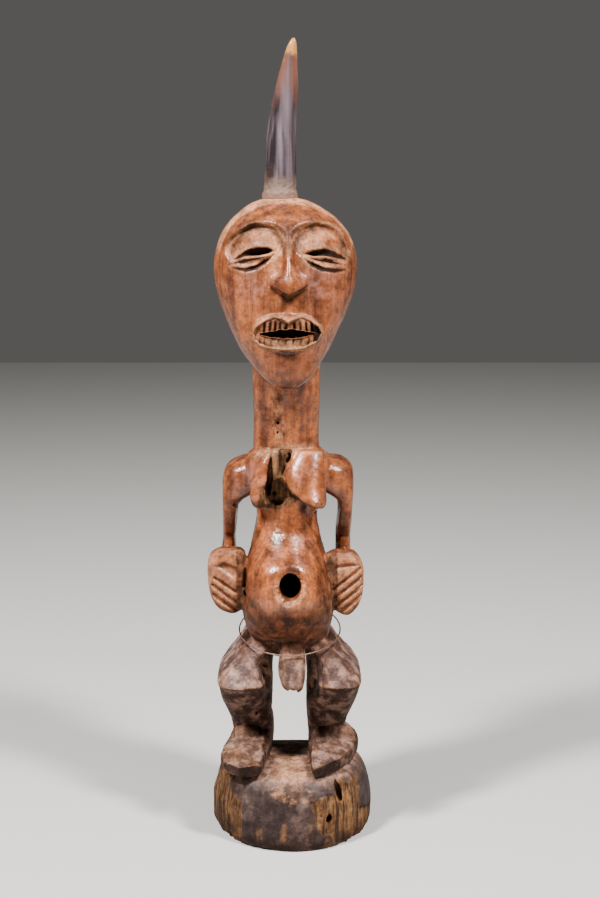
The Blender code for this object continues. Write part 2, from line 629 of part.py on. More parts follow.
finish(figure, "carved_wood", (0.28, 0.12, 0.055), 0.45)
finish(horn, "horn", (0.035, 0.028, 0.026), 0.3)
finish(wire, "iron_wire", (0.06, 0.045, 0.035), 0.55, metallic=0.9)
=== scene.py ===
# The carved power figure with its horn and its wire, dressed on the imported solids.
# Tables are in millimetres from the middle of the base's underside; the front faces -Y.
import math

import bpy
import numpy as np
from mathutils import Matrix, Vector


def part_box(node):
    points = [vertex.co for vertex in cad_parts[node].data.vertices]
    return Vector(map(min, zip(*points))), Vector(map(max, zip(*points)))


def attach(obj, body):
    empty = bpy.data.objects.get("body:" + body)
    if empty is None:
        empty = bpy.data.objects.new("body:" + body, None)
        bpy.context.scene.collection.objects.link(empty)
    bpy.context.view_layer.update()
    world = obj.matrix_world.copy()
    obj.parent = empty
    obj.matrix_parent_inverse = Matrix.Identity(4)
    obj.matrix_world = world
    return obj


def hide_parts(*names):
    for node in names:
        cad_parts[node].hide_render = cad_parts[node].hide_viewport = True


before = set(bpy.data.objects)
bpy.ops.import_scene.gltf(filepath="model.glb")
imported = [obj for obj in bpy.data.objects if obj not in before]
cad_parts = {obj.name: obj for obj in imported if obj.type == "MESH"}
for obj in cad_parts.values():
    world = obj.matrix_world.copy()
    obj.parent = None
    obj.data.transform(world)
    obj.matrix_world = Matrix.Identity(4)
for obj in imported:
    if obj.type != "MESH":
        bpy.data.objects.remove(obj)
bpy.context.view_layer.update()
figureLow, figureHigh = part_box("figure")
unit = (figureHigh.z - figureLow.z) / 533.24   # metres in one millimetre of the tables
print("frame loaded, table unit", round(unit, 7))


def easeStep(value, low, high):
    t = np.clip((value - low) / (high - low), 0.0, 1.0)
    return t * t * (3.0 - 2.0 * t)


def hump(value, centre, width):
    return np.exp(-((value - centre) / width) ** 2)


# Smooth random values from -1 to 1, with one lump for each size (in mm) along x, y and z.
def lumps(points, size, seed):
    cells = points / np.array(size, float)
    base = np.floor(cells).astype(np.int64)
    part = cells - base
    part = part * part * (3.0 - 2.0 * part)
    total = np.zeros(len(points))
    for corner in range(8):
        step = [(corner >> k) & 1 for k in range(3)]
        cell = base + np.array(step)
        key = cell[:, 0] * 374761393 + cell[:, 1] * 668265263 + cell[:, 2] * 1442695041 + seed * 97531
        key = (key ^ (key >> 13)) * 1274126177
        key = (key ^ (key >> 16)) & 0xFFFFFF
        weight = np.ones(len(points))
        for k in range(3):
            weight = weight * (part[:, k] if step[k] else 1.0 - part[:, k])
        total += weight * (key / float(0xFFFFFF))
    return total * 2.0 - 1.0


def rough(points, size, seed, layers=3):
    total, share = np.zeros(len(points)), 0.0
    for k in range(layers):
        total += lumps(points, np.array(size, float) / 2.0 ** k, seed + k * 11) / 1.7 ** k
        share += 1.0 / 1.7 ** k
    return total / share


# Distance from (x, z) to a line of points, and how far along it the nearest place is, 0 to 1.
def nearLine(x, z, line):
    line = np.array(line, float)
    spans = np.hypot(*np.diff(line, axis=0).T)
    before = np.concatenate([[0.0], np.cumsum(spans)])
    best = np.full(x.shape, 1e9)
    along = np.zeros(x.shape)
    for k in range(len(spans)):
        ax, az = line[k]
        bx, bz = line[k + 1] - line[k]
        t = np.clip(((x - ax) * bx + (z - az) * bz) / spans[k] ** 2, 0.0, 1.0)
        away = np.hypot(x - ax - t * bx, z - az - t * bz)
        closer = away < best
        best = np.where(closer, away, best)
        along = np.where(closer, (before[k] + t * spans[k]) / before[-1], along)
    return best, along


# How far (x, z) is inside a closed outline, negative outside.
def insideOf(x, z, outline):
    closed = list(outline) + [outline[0]]
    away, _ = nearLine(x, z, closed)
    crossings = np.zeros(x.shape, int)
    for (ax, az), (bx, bz) in zip(closed, closed[1:]):
        if az == bz:
            continue
        spans = (az > z) != (bz > z)
        crossings += (spans & (x < ax + (z - az) / (bz - az) * (bx - ax))).astype(int)
    return np.where(crossings % 2 == 1, away, -away)


# The listed sizes at many heights, following the rows smoothly and never past them.
def sizesAt(rows, levels):
    table = np.array(rows, float)
    heights, sizes = table[:, 0], table[:, 1:]
    gaps = np.diff(heights)[:, None]
    leans = np.diff(sizes, axis=0) / gaps
    before, after = leans[:-1], leans[1:]
    same = before * after > 0.0
    inner = np.where(same, 2.0 * before * after / np.where(same, before + after, 1.0), 0.0)
    slopes = np.vstack([leans[:1], inner, leans[-1:]])
    k = np.clip(np.searchsorted(heights, levels, side="right") - 1, 0, len(heights) - 2)
    gap = gaps[k]
    t = ((levels - heights[k])[:, None] / gap)
    return (sizes[k] * (2 * t**3 - 3 * t**2 + 1) + sizes[k + 1] * (3 * t**2 - 2 * t**3)
            + slopes[k] * gap * (t**3 - 2 * t**2 + t) + slopes[k + 1] * gap * (t**3 - t**2))


def levelRings(rows, columns, step, crowd=0.0, lying=False, widest=0.5):
    levels = np.linspace(rows[0][0], rows[-1][0], max(2, round((rows[-1][0] - rows[0][0]) / step) + 1))
    left, right, front, back, square = [c[:, None] for c in sizesAt(rows, levels).T]
    t = 2.0 * math.pi * (np.arange(columns) + 0.5) / columns - math.pi
    turn = (t - crowd * np.sin(t) - math.pi / 2.0)[None, :]
    across = np.sign(np.cos(turn)) * np.abs(np.cos(turn)) ** (2.0 / square)
    along = np.sign(np.sin(turn)) * np.abs(np.sin(turn)) ** (2.0 / square)
    middle = front + (back - front) * widest
    x = (left + right) / 2.0 + across * (right - left) / 2.0
    y = middle + along * np.where(along < 0.0, middle - front, back - middle)
    z = np.broadcast_to(levels[:, None], x.shape)
    return np.stack([x, z, y] if lying else [x, y, z], axis=2)


# A closed shape over rings of points, each end closed by one face, turned outward.
def closedSkin(name, rings):
    rings = np.asarray(rings, float)
    count, sides = rings.shape[:2]
    a = np.arange(count - 1)[:, None] * sides + np.arange(sides)[None, :]
    b = np.arange(count - 1)[:, None] * sides + (np.arange(sides)[None, :] + 1) % sides
    quads = np.stack([a, b, b + sides, a + sides], axis=2).reshape(-1, 4)
    points = rings.reshape(-1, 3)
    p = points[quads]
    middle = points.mean(0)
    volume = np.einsum("ij,ij->i", np.cross(p[:, 1] - p[:, 0], p[:, 2] - p[:, 0]), p[:, 0] - middle).sum()
    volume += np.einsum("ij,ij->i", np.cross(p[:, 2] - p[:, 0], p[:, 3] - p[:, 0]), p[:, 0] - middle).sum()
    caps = [list(range(sides))[::-1], list(range((count - 1) * sides, count * sides))]
    mesh = bpy.data.meshes.new(name)
    mesh.from_pydata(points.tolist(), [], quads.tolist() + caps)
    if volume < 0.0:
        mesh.flip_normals()
    thing = bpy.data.objects.new(name, mesh)
    bpy.context.scene.collection.objects.link(thing)
    return thing


# A cutter of one outline in (x, z), from one depth to another, its far end drawn in.
def cutBlock(name, outline, front, back, far=1.0):
    outline = np.array(outline, float)
    middle = outline.mean(0)
    rings = []
    for y, share in ((front, 1.0), (back, far)):
        ring = middle + (outline - middle) * share
        rings.append(np.stack([ring[:, 0], np.full(len(ring), y), ring[:, 1]], axis=1))
    return closedSkin(name, rings)


# The outline of a pointed lens between two (x, z) ends, its edge as ragged as asked, in mm.
def lensOutline(start, end, above, below, count=12, ragged=0.0, seed=1):
    start, end = np.array(start, float), np.array(end, float)
    run = end - start
    out = np.array([-run[1], run[0]]) / math.hypot(*run)
    chance = np.random.default_rng(seed)
    points = []
    for i in range(2 * count):
        t = i / count if i <= count else 2.0 - i / count
        side = above if i <= count else -below
        jog = chance.uniform(-ragged, ragged) * math.sin(math.pi * t)
        points.append(start + run * t + out * (side * math.sin(math.pi * t) + jog))
    return points


def evaluated(thing):
    graph = bpy.context.evaluated_depsgraph_get()
    return bpy.data.meshes.new_from_object(thing.evaluated_get(graph))


def meshPoints(mesh):
    flat = np.empty(len(mesh.vertices) * 3, np.float32)
    mesh.vertices.foreach_get("co", flat)
    return flat.reshape(-1, 3).astype(float)


def meshNormals(mesh):
    flat = np.empty(len(mesh.vertices) * 3, np.float32)
    mesh.vertex_normals.foreach_get("vector", flat)
    return flat.reshape(-1, 3).astype(float)


def meshEdges(mesh):
    flat = np.empty(len(mesh.edges) * 2, np.int32)
    mesh.edges.foreach_get("vertices", flat)
    return flat.reshape(-1, 2)


def putPoints(mesh, points):
    mesh.vertices.foreach_set("co", points.astype(np.float32).ravel())
    mesh.update()


def neighbourMean(values, edges):
    n = len(values)
    degree = np.bincount(edges.ravel(), minlength=n).astype(float)
    flat = values.reshape(n, -1)
    total = np.empty_like(flat)
    for c in range(flat.shape[1]):
        total[:, c] = (np.bincount(edges[:, 0], flat[edges[:, 1], c], n)
                       + np.bincount(edges[:, 1], flat[edges[:, 0], c], n))
    return (total / np.maximum(degree, 1.0)[:, None]).reshape(values.shape)


def smoothed(values, edges, rounds):
    for _ in range(rounds):
        values = 0.5 * values + 0.5 * neighbourMean(values, edges)
    return values


# A colour written as sRGB, in linear light.
def tone(code):
    parts = [int(code[i:i + 2], 16) / 255.0 for i in (1, 3, 5)]
    return tuple(c / 12.92 if c <= 0.04045 else ((c + 0.055) / 1.055) ** 2.4 for c in parts) + (1.0,)


# One node with its settings and what feeds its sockets: a number, a colour or another socket.
def addNode(tree, kind, settings=None, feeds=None, out=None):
    node = tree.nodes.new(kind)
    for key, value in (settings or {}).items():
        setattr(node, key, value)
    for key, value in (feeds or {}).items():
        if isinstance(value, bpy.types.NodeSocket):
            tree.links.new(value, node.inputs[key])
        else:
            node.inputs[key].default_value = value
    return node if out is None else node.outputs[out]


# What the words in the recipes below stand for: a node, its settings, the sockets that the row
# fills in order, and the socket that comes out.
recipeWords = {
    "stretch": ("ShaderNodeMapping", {}, ("Vector", "Scale"), "Vector"),
    "height": ("ShaderNodeSeparateXYZ", {}, ("Vector",), "Z"),
    "noise": ("ShaderNodeTexNoise", {}, ("Vector", "Scale", "Detail", "Roughness"), "Fac"),
    "step": ("ShaderNodeMapRange", {"interpolation_type": "SMOOTHSTEP"},
             ("Value", "From Min", "From Max", "To Min", "To Max"), "Result"),
    "slope": ("ShaderNodeMapRange", {}, ("Value", "From Min", "From Max", "To Min", "To Max"), "Result"),
    "plus": ("ShaderNodeMath", {"operation": "ADD", "use_clamp": True}, (0, 1), 0),
    "times": ("ShaderNodeMath", {"operation": "MULTIPLY", "use_clamp": True}, (0, 1), 0),
    "scaled": ("ShaderNodeMath", {"operation": "MULTIPLY"}, (0, 1), 0),
    "timesPlus": ("ShaderNodeMath", {"operation": "MULTIPLY_ADD"}, (0, 1, 2), 0),
    "over": ("ShaderNodeMix", {"data_type": "RGBA"}, (6, 7, 0), 2),
    "tinted": ("ShaderNodeMix", {"data_type": "RGBA", "blend_type": "MULTIPLY"}, (6, 7, 0), 2),
    "bump": ("ShaderNodeBump", {}, ("Height", "Strength", "Distance"), "Normal"),
}


# A material from its colours, the mesh layers it reads and a recipe. Each row of a recipe gives a
# name to what a node makes of numbers, colours and names above it; "over" lays the second colour
# over the first by a share.
def makeMaterial(name, look, layers, recipe, surface):
    material = bpy.data.materials.new(name)
    material.use_nodes = True
    tree = material.node_tree
    tree.nodes.clear()
    known = {key: tone(value) for key, value in look.items() if isinstance(value, str)}
    known["object"] = addNode(tree, "ShaderNodeTexCoord", out="Object")
    for layer in layers:
        known[layer + "Here"] = addNode(tree, "ShaderNodeAttribute", {"attribute_name": layer}, out="Fac")
    for made, word, *parts in recipe:
        kind, settings, sockets, out = recipeWords[word]
        parts = [known[part] if isinstance(part, str) else part for part in parts]
        known[made] = addNode(tree, kind, settings, dict(zip(sockets, parts)), out)
    feeds = {key: known[part] if isinstance(part, str) else part for key, part in surface.items()}
    shader = addNode(tree, "ShaderNodeBsdfPrincipled", {}, feeds, "BSDF")
    addNode(tree, "ShaderNodeOutputMaterial", {}, {"Surface": shader})
    return material


# The carved figure: sizes in mm.
figureSizes = {
    "grain": 0.85,          # voxel of the carving, mm
    "mostTriangles": 192000,
    "faceMiddle": -2.6,
    "socketDeep": 5.6,
    "lidProud": 6.6,
    "noseProud": 13.0,
    "lipsProud": 5.0,
    "boreMiddle": (-1.7, 221.6),
    "boreHalf": (9.2, 11.2),
    "boreBack": -21.0,
}
# Rows: height, left, right, front, back, squareness.
baseRows = [
    (0.0, -66.0, 66.0, -67.0, 67.0, 2.0), (6.0, -68.6, 68.4, -68.6, 68.6, 2.0),
    (26.0, -68.5, 67.6, -68.4, 68.0, 2.05), (38.0, -65.4, 65.4, -67.8, 66.0, 2.1),
    (47.0, -63.6, 62.6, -66.0, 63.0, 2.15), (54.0, -60.0, 58.8, -61.8, 58.0, 2.2),
    (59.0, -54.4, 53.4, -55.0, 51.0, 2.2), (61.4, -48.0, 47.0, -47.0, 45.0, 2.2),
    (62.5, -40.0, 39.0, -38.0, 38.0, 2.2)]
# The inner side of each thigh, which stands nearer the middle behind the hewn front of the leg.
thighLeftRows = [
    (98.0, -44.0, -17.4, -6.0, 30.0, 3.0), (114.0, -46.0, -17.2, -12.0, 34.0, 3.0),
    (134.0, -48.0, -17.0, -16.0, 40.0, 3.0), (152.0, -44.0, -16.6, -12.0, 44.0, 2.8),
    (164.0, -36.0, -15.0, -2.0, 44.0, 2.6)]
thighRightRows = [
    (98.0, 11.8, 38.0, -6.0, 30.0, 3.0), (114.0, 11.6, 42.0, -12.0, 34.0, 3.0),
    (134.0, 11.4, 44.0, -16.0, 40.0, 3.0), (152.0, 11.2, 40.0, -12.0, 44.0, 2.8),
    (164.0, 9.0, 32.0, -2.0, 44.0, 2.6)]
legLeftRows = [
    (64.0, -49.0, -17.6, -7.0, 28.0, 2.6), (80.0, -51.2, -16.2, -9.0, 29.0, 2.6),
    (92.0, -53.0, -16.4, -13.0, 28.0, 2.7), (104.0, -57.0, -19.0, -20.0, 27.0, 2.9),
    (114.0, -60.2, -21.6, -28.0, 26.0, 3.1), (124.0, -62.0, -22.4, -36.5, 26.5, 3.3),
    (129.5, -62.6, -22.6, -41.5, 28.5, 3.5), (133.0, -63.6, -23.0, -45.6, 32.0, 3.6),
    (138.0, -62.8, -23.4, -43.8, 40.0, 3.2), (143.0, -59.6, -23.8, -40.8, 45.0, 3.0),
    (149.0, -54.6, -23.0, -36.0, 49.0, 2.8), (155.0, -49.4, -19.0, -30.4, 51.0, 2.6),
    (161.0, -45.4, -12.0, -22.8, 50.0, 2.5), (167.0, -42.0, -8.0, -14.4, 46.0, 2.4),
    (176.0, -37.0, -6.0, -4.0, 39.0, 2.3)]
legRightRows = [
    (65.3, 13.6, 44.0, -7.0, 28.0, 2.6), (80.0, 13.2, 45.4, -9.0, 29.0, 2.6),
    (92.0, 12.2, 46.8, -13.0, 28.0, 2.7), (104.0, 11.6, 50.8, -20.0, 27.0, 2.9),
    (114.0, 11.4, 54.0, -28.0, 26.0, 3.1), (122.0, 16.8, 56.0, -35.0, 26.5, 3.3),
    (129.5, 20.6, 57.2, -41.5, 28.5, 3.5), (133.0, 21.0, 58.2, -45.4, 32.0, 3.6),
    (138.0, 20.8, 57.4, -43.6, 40.0, 3.2), (143.0, 20.2, 54.6, -40.6, 45.0, 3.0),
    (149.0, 18.8, 49.8, -35.8, 49.0, 2.8), (155.0, 14.0, 43.6, -30.2, 51.0, 2.6),
    (161.0, 7.0, 38.6, -22.6, 50.0, 2.5), (167.0, 3.0, 34.8, -14.2, 46.0, 2.4),
    (176.0, 0.0, 30.0, -4.0, 39.0, 2.3)]
torsoRows = [
    (147.0, -22.0, 15.0, -2.0, 44.0, 2.2), (153.0, -28.0, 21.0, -16.0, 48.0, 2.2),
    (160.0, -33.0, 27.0, -25.0, 49.0, 2.2), (168.0, -37.0, 30.4, -34.0, 47.0, 2.2),
    (176.0, -39.6, 32.4, -43.0, 44.0, 2.3), (186.0, -41.6, 34.0, -51.6, 42.0, 2.4),
    (197.0, -42.4, 35.2, -58.2, 42.0, 2.45), (210.0, -42.0, 34.0, -60.6, 40.0, 2.5),
    (222.0, -41.0, 32.0, -59.6, 39.0, 2.4), (232.0, -39.6, 30.0, -56.6, 38.5, 2.3),
    (237.0, -38.0, 28.4, -53.4, 38.5, 2.2), (240.0, -37.0, 27.4, -50.2, 38.5, 2.15),
    (249.0, -34.4, 25.0, -40.2, 38.5, 2.1), (259.0, -32.2, 22.6, -30.8, 38.5, 2.1),
    (264.0, -31.2, 21.4, -27.4, 38.2, 2.1), (270.0, -30.6, 20.8, -25.0, 38.0, 2.1),
    (280.0, -31.0, 22.6, -22.6, 37.5, 2.15), (290.0, -36.0, 27.0, -22.0, 37.0, 2.4),
    (300.0, -40.0, 32.0, -23.4, 37.5, 2.6), (312.0, -42.0, 34.0, -24.0, 39.0, 2.7),
    (319.0, -40.0, 32.0, -23.6, 39.6, 2.7), (323.5, -35.4, 26.4, -22.6, 39.0, 2.7),
    (328.4, -30.4, 21.4, -20.0, 36.6, 2.6)]
armLeftRows = [
    (228.6, -57.0, -49.6, 1.0, 17.0, 2.4), (233.0, -60.2, -47.4, -4.0, 22.0, 2.6),
    (241.0, -60.0, -48.0, -4.0, 24.0, 2.8), (250.0, -59.2, -48.4, -2.0, 24.6, 2.8),
    (262.0, -59.0, -47.2, -6.0, 26.0, 3.4), (276.0, -59.2, -46.0, -9.0, 28.0, 3.8),
    (284.0, -59.2, -41.5, -10.6, 30.0, 3.8), (290.0, -59.2, -30.0, -11.6, 32.0, 3.8),
    (298.0, -59.2, -16.0, -13.0, 33.4, 3.4), (308.0, -57.2, -13.0, -12.6, 34.0, 3.0),
    (314.0, -53.0, -13.0, -9.6, 33.0, 2.5), (318.6, -44.0, -14.0, -4.0, 29.0, 2.4)]
armRightRows = [
    (228.6, 38.6, 47.0, 1.0, 17.0, 2.4), (233.0, 36.4, 50.0, -4.0, 22.0, 2.6),
    (241.0, 36.4, 49.4, -4.0, 24.0, 2.8), (250.0, 36.4, 49.2, -2.0, 24.6, 2.8),
    (262.0, 37.0, 49.8, -6.0, 26.0, 3.4), (276.0, 38.2, 50.4, -9.0, 28.0, 3.8),
    (283.0, 37.4, 50.8, -10.6, 30.0, 3.8), (290.0, 28.0, 51.2, -11.6, 32.0, 3.8),
    (298.0, 8.0, 51.4, -13.0, 33.4, 3.4), (308.0, 5.0, 51.0, -12.6, 34.0, 3.0),
    (314.0, 5.0, 48.2, -9.6, 33.0, 2.5), (318.6, 6.0, 42.0, -4.0, 29.0, 2.4)]
handLeftRows = [
    (190.8, -54.0, -46.4, -22.0, -11.0, 2.2), (193.6, -60.0, -42.6, -25.0, -9.0, 2.6),
    (198.0, -64.4, -40.6, -26.6, -8.0, 3.0), (206.0, -68.2, -39.0, -27.6, -7.4, 3.2),
    (216.0, -70.2, -38.0, -28.2, -7.0, 3.2), (227.0, -70.8, -38.0, -28.4, -7.0, 3.2),
    (236.0, -70.2, -38.6, -28.4, -6.4, 3.2), (242.0, -67.4, -39.4, -27.4, -4.0, 3.0),
    (245.2, -62.4, -42.4, -24.6, -6.0, 2.5)]
handRightRows = [
    (189.2, 41.6, 48.4, -22.0, -11.0, 2.2), (192.4, 36.6, 51.6, -25.0, -9.0, 2.6),
    (198.0, 31.6, 55.4, -26.6, -8.0, 3.0), (207.0, 29.4, 58.6, -27.6, -7.4, 3.2),
    (217.0, 28.0, 59.4, -28.2, -7.0, 3.2), (227.0, 27.2, 59.4, -28.4, -7.0, 3.2),
    (235.0, 26.6, 57.6, -28.4, -6.4, 3.2), (240.0, 27.8, 54.6, -27.2, -4.0, 3.0),
    (243.4, 33.0, 51.0, -24.6, -6.0, 2.5)]
breastLeftRows = [
    (280.5, -31.0, -22.0, -25.0, -10.0, 2.2), (284.0, -33.4, -19.8, -31.0, -10.0, 2.4),
    (291.0, -35.0, -19.0, -34.0, -10.0, 2.5), (301.0, -34.2, -18.6, -32.0, -10.0, 2.5),
    (312.0, -30.6, -17.6, -29.0, -10.0, 2.5), (321.0, -25.4, -16.8, -26.0, -10.0, 2.5),
    (326.5, -21.6, -16.6, -23.0, -10.0, 2.3)]
breastRightRows = [
    (281.4, 18.6, 24.4, -37.0, -10.0, 2.1), (284.0, 13.4, 27.2, -43.0, -10.0, 2.1),
    (288.0, 7.0, 28.2, -44.4, -10.0, 2.15), (293.0, -0.6, 27.8, -42.0, -10.0, 2.2),
    (298.0, -5.2, 27.4, -39.4, -10.0, 2.2), (306.0, -7.2, 27.0, -35.6, -10.0, 2.3),
    (315.0, -5.0, 26.4, -31.0, -10.0, 2.4), (323.0, 0.0, 25.8, -26.4, -10.0, 2.4),
    (328.0, 3.0, 24.6, -23.0, -10.0, 2.3)]
pegRows = [
    (127.6, -1.0, 5.8, -41.0, -30.0, 2.2), (131.0, -7.6, 9.2, -43.6, -27.0, 2.4),
    (138.0, -10.6, 10.4, -45.0, -25.0, 2.6), (148.0, -12.0, 11.0, -45.2, -24.0, 2.7),
    (158.0, -10.8, 10.8, -43.6, -20.0, 2.7), (167.0, -10.0, 10.2, -41.6, -14.0, 2.6),
    (175.0, -9.4, 9.8, -38.0, -10.0, 2.5)]
neckRows = [
    (315.0, -33.4, 23.6, -16.8, 38.6, 2.5), (335.0, -32.8, 22.2, -15.6, 37.4, 2.5),
    (352.0, -32.6, 22.4, -15.6, 37.4, 2.5), (372.0, -33.3, 23.2, -16.4, 38.0, 2.5),
    (396.0, -33.4, 23.2, -18.0, 38.4, 2.5), (412.0, -34.0, 24.0, -20.0, 39.0, 2.4)]
headRows = [
    (381.6, -8.0, 2.0, -47.0, -38.0, 2.1), (384.6, -14.6, 7.2, -50.2, -30.0, 2.2),
    (390.0, -22.4, 14.4, -52.6, -20.0, 2.3), (396.0, -28.6, 19.4, -53.6, -4.0, 2.4),
    (401.6, -34.4, 23.6, -54.0, 22.0, 2.45), (408.0, -40.2, 28.0, -54.0, 40.0, 2.45),
    (415.0, -44.6, 32.2, -53.6, 49.0, 2.45), (425.0, -49.6, 36.8, -52.6, 56.0, 2.45),
    (435.0, -54.4, 42.0, -51.4, 60.6, 2.4), (445.0, -58.4, 46.2, -50.2, 63.8, 2.4),
    (455.0, -61.6, 50.0, -49.4, 65.6, 2.4), (465.0, -63.6, 52.2, -48.8, 66.6, 2.4),
    (477.0, -64.9, 53.5, -48.4, 66.4, 2.4), (486.0, -64.0, 52.7, -47.8, 65.0, 2.4),
    (496.0, -61.6, 50.4, -46.2, 61.8, 2.35), (504.0, -58.6, 46.8, -43.8, 57.4, 2.3),
    (511.0, -54.4, 41.8, -40.2, 52.0, 2.25), (518.0, -48.2, 35.2, -34.4, 45.0, 2.2),
    (524.0, -41.4, 27.2, -27.4, 36.6, 2.15), (529.0, -34.0, 18.4, -18.6, 27.0, 2.1),
    (532.2, -25.8, 10.0, -9.4, 18.0, 2.0), (533.6, -19.0, 3.0, -3.0, 12.0, 2.0)]
# Feet: station from front to back, left, right, sole, top, squareness.
footLeftRows = [
    (-57.6, -45.0, -28.6, 61.4, 69.6, 2.6), (-54.4, -50.4, -25.6, 60.4, 72.6, 3.0),
    (-44.0, -58.0, -24.0, 59.0, 76.6, 2.9), (-32.0, -60.6, -22.0, 57.0, 81.4, 2.5),
    (-16.0, -57.0, -19.0, 55.0, 87.4, 2.2), (2.0, -52.4, -17.4, 53.0, 93.0, 2.2),
    (18.0, -50.0, -18.4, 51.0, 88.0, 2.3), (28.9, -45.0, -23.0, 49.0, 76.0, 2.3)]
footRightRows = [
    (-58.0, 17.6, 23.6, 61.4, 69.0, 2.4), (-55.4, 16.2, 27.4, 60.6, 71.6, 2.8),
    (-44.0, 15.4, 37.0, 59.2, 75.4, 2.9), (-30.0, 14.4, 47.0, 57.4, 80.4, 2.7),
    (-16.0, 13.6, 54.0, 55.4, 86.0, 2.3), (-4.0, 13.2, 56.6, 54.0, 91.0, 2.2),
    (10.0, 13.6, 50.4, 52.0, 90.6, 2.2), (27.7, 18.0, 41.0, 49.0, 76.0, 2.3)]


# The broad forms of the face, forward of the plain head.
def faceForm(x, z):
    u = x - figureSizes["faceMiddle"]
    side = np.where(u < 0.0, -1.0, 1.0)
    cx, cz, tilt = side * 26.6, 496.2, side * -0.30
    du, dz = u - cx, z - cz
    su = du * np.cos(tilt) + dz * np.sin(tilt)
    sz = dz * np.cos(tilt) - du * np.sin(tilt)
    reach = np.sqrt((su / 25.5) ** 2 + (sz / 16.5) ** 2)
    out = -figureSizes["socketDeep"] * (1.0 - easeStep(reach, 0.80, 1.02))
    out += 1.0 * hump(reach, 1.10, 0.07) * easeStep(z, 486.0, 500.0)
    lid = np.sqrt((su / 22.5) ** 2 + ((sz + 3.4) / 13.2) ** 2)
    out += figureSizes["lidProud"] * np.maximum(0.0, 1.0 - lid * lid)
    # The long nose: a ridge that flares into two wings and is cut off below in a V.
    half = np.interp(z, [456.0, 464.5, 468.0, 471.0, 474.5, 482.0, 497.0, 506.0],
                     [15.6, 16.4, 16.0, 12.6, 8.4, 5.6, 3.2, 2.2])
    down = easeStep(502.0 - z, 0.0, 40.0)
    under = 457.4 + np.abs(u) * 0.5
    across = np.maximum(0.0, 1.0 - (np.abs(u) / half) ** 1.7)
    nose = (2.6 + figureSizes["noseProud"] * down) * across ** 0.9
    wings = 4.6 * hump(np.abs(u), 11.2, 4.2) * hump(z, under + 3.4, 4.4)
    nose = np.maximum(nose, wings + nose * 0.5)
    nose *= easeStep(z, under - 0.9, under + 0.9) * easeStep(506.0 - z, 0.0, 9.0)
    out = np.where((z < 506.0) & (nose > 0.05), np.maximum(out, nose), out)
    # The mouth stands out as one swelling.
    wide, tall = np.abs(x + 4.0), np.abs(z - 427.6)
    lips = np.sqrt((wide / 30.5) ** 2.4 + (tall / (14.6 - wide * 0.1)) ** 2.4)
    out += figureSizes["lipsProud"] * (1.0 - easeStep(lips, 0.74, 1.14))
    return out


# Where the base has lost its skin, right and left of the front: 0 sound, 1 rotted, with ragged edges.
def baseRot(turn, z):
    shape = turn.shape
    around = np.stack([turn.ravel() * 66.0, 0.0 * turn.ravel(), z.ravel()], axis=1)
    ragged = rough(around, (7.0, 1.0, 26.0), 61, 3).reshape(shape)
    begin = 0.22 + 0.30 * (1.0 - easeStep(z, 8.0, 20.0)) + 0.42 * easeStep(z, 40.0, 48.0)
    right = np.minimum((turn - begin) / 0.22, (1.14 + 0.5 * (1.0 - easeStep(z, 12.0, 26.0)) - turn) / 0.14)
    left = (-turn - 0.64 - 0.32 * easeStep(z, 34.0, 46.0)) / 0.18
    behind = np.minimum((np.abs(turn) - 1.7) / 0.2, (24.0 - z) / 12.0)
    score = np.minimum(np.maximum(right, left), (2.5 - np.abs(turn)) / 0.3)
    score = np.minimum(np.maximum(score, behind), (53.0 - z) / 7.0)
    return easeStep(score + 1.25 * ragged, -0.15, 0.40)


def baseForm(rings):
    x, y, z = rings[..., 0], rings[..., 1], rings[..., 2]
    turn = np.arctan2(x, -y)
    around = np.stack([turn.ravel() * 66.0, 0.0 * turn.ravel(), z.ravel()], axis=1)
    ridge = rough(around, (4.4, 1.0, 60.0), 31, 3).reshape(turn.shape)
    strips = rough(around, (12.0, 1.0, 30.0), 57, 2).reshape(turn.shape)
    upright = easeStep(z, -8.0, 5.0) * (1.0 - easeStep(z, 46.0, 56.0))
    loss = baseRot(turn, z) * (1.5 + 2.2 * ridge + 1.9 * strips)
    loss = np.clip(loss, 0.0, 4.6) * (0.75 + 0.25 * easeStep(turn, -0.2, 0.2))
    loss += 0.5 * np.maximum(0.0, strips) * easeStep(z, 1.0, 6.0)
    share = 1.0 - loss * upright / np.maximum(1.0, np.hypot(x, y))
    fall = np.maximum(0.0, y - 12.0) ** 2 * 0.0052 * easeStep(z, 44.0, 60.0)
    # The lower edge is chipped here and there.
    chips = np.maximum(0.0, rough(around, (9.0, 1.0, 40.0), 83, 2).reshape(turn.shape) - 0.18) * 9.0
    lift = chips * (1.0 - easeStep(z, 0.0, 7.0)) * easeStep(np.hypot(x, y), 58.0, 66.0)
    return np.stack([x * share, y * share, z - fall + lift], axis=2)


# Forms made from their rows alone: name, rows, points to a ring, height of a step in mm.
plainForms = [
    ("neckForm", neckRows, 120, 3.0),
    ("armLeftForm", armLeftRows, 80, 1.6), ("armRightForm", armRightRows, 80, 1.6),
    ("handLeftForm", handLeftRows, 80, 1.2), ("handRightForm", handRightRows, 80, 1.2),
    ("breastLeftForm", breastLeftRows, 60, 1.2), ("breastRightForm", breastRightRows, 80, 1.2),
    ("pegForm", pegRows, 48, 1.6),
    ("legLeftForm", legLeftRows, 110, 1.4), ("legRightForm", legRightRows, 110, 1.4),
    ("thighLeftForm", thighLeftRows, 80, 2.0), ("thighRightForm", thighRightRows, 80, 2.0)]


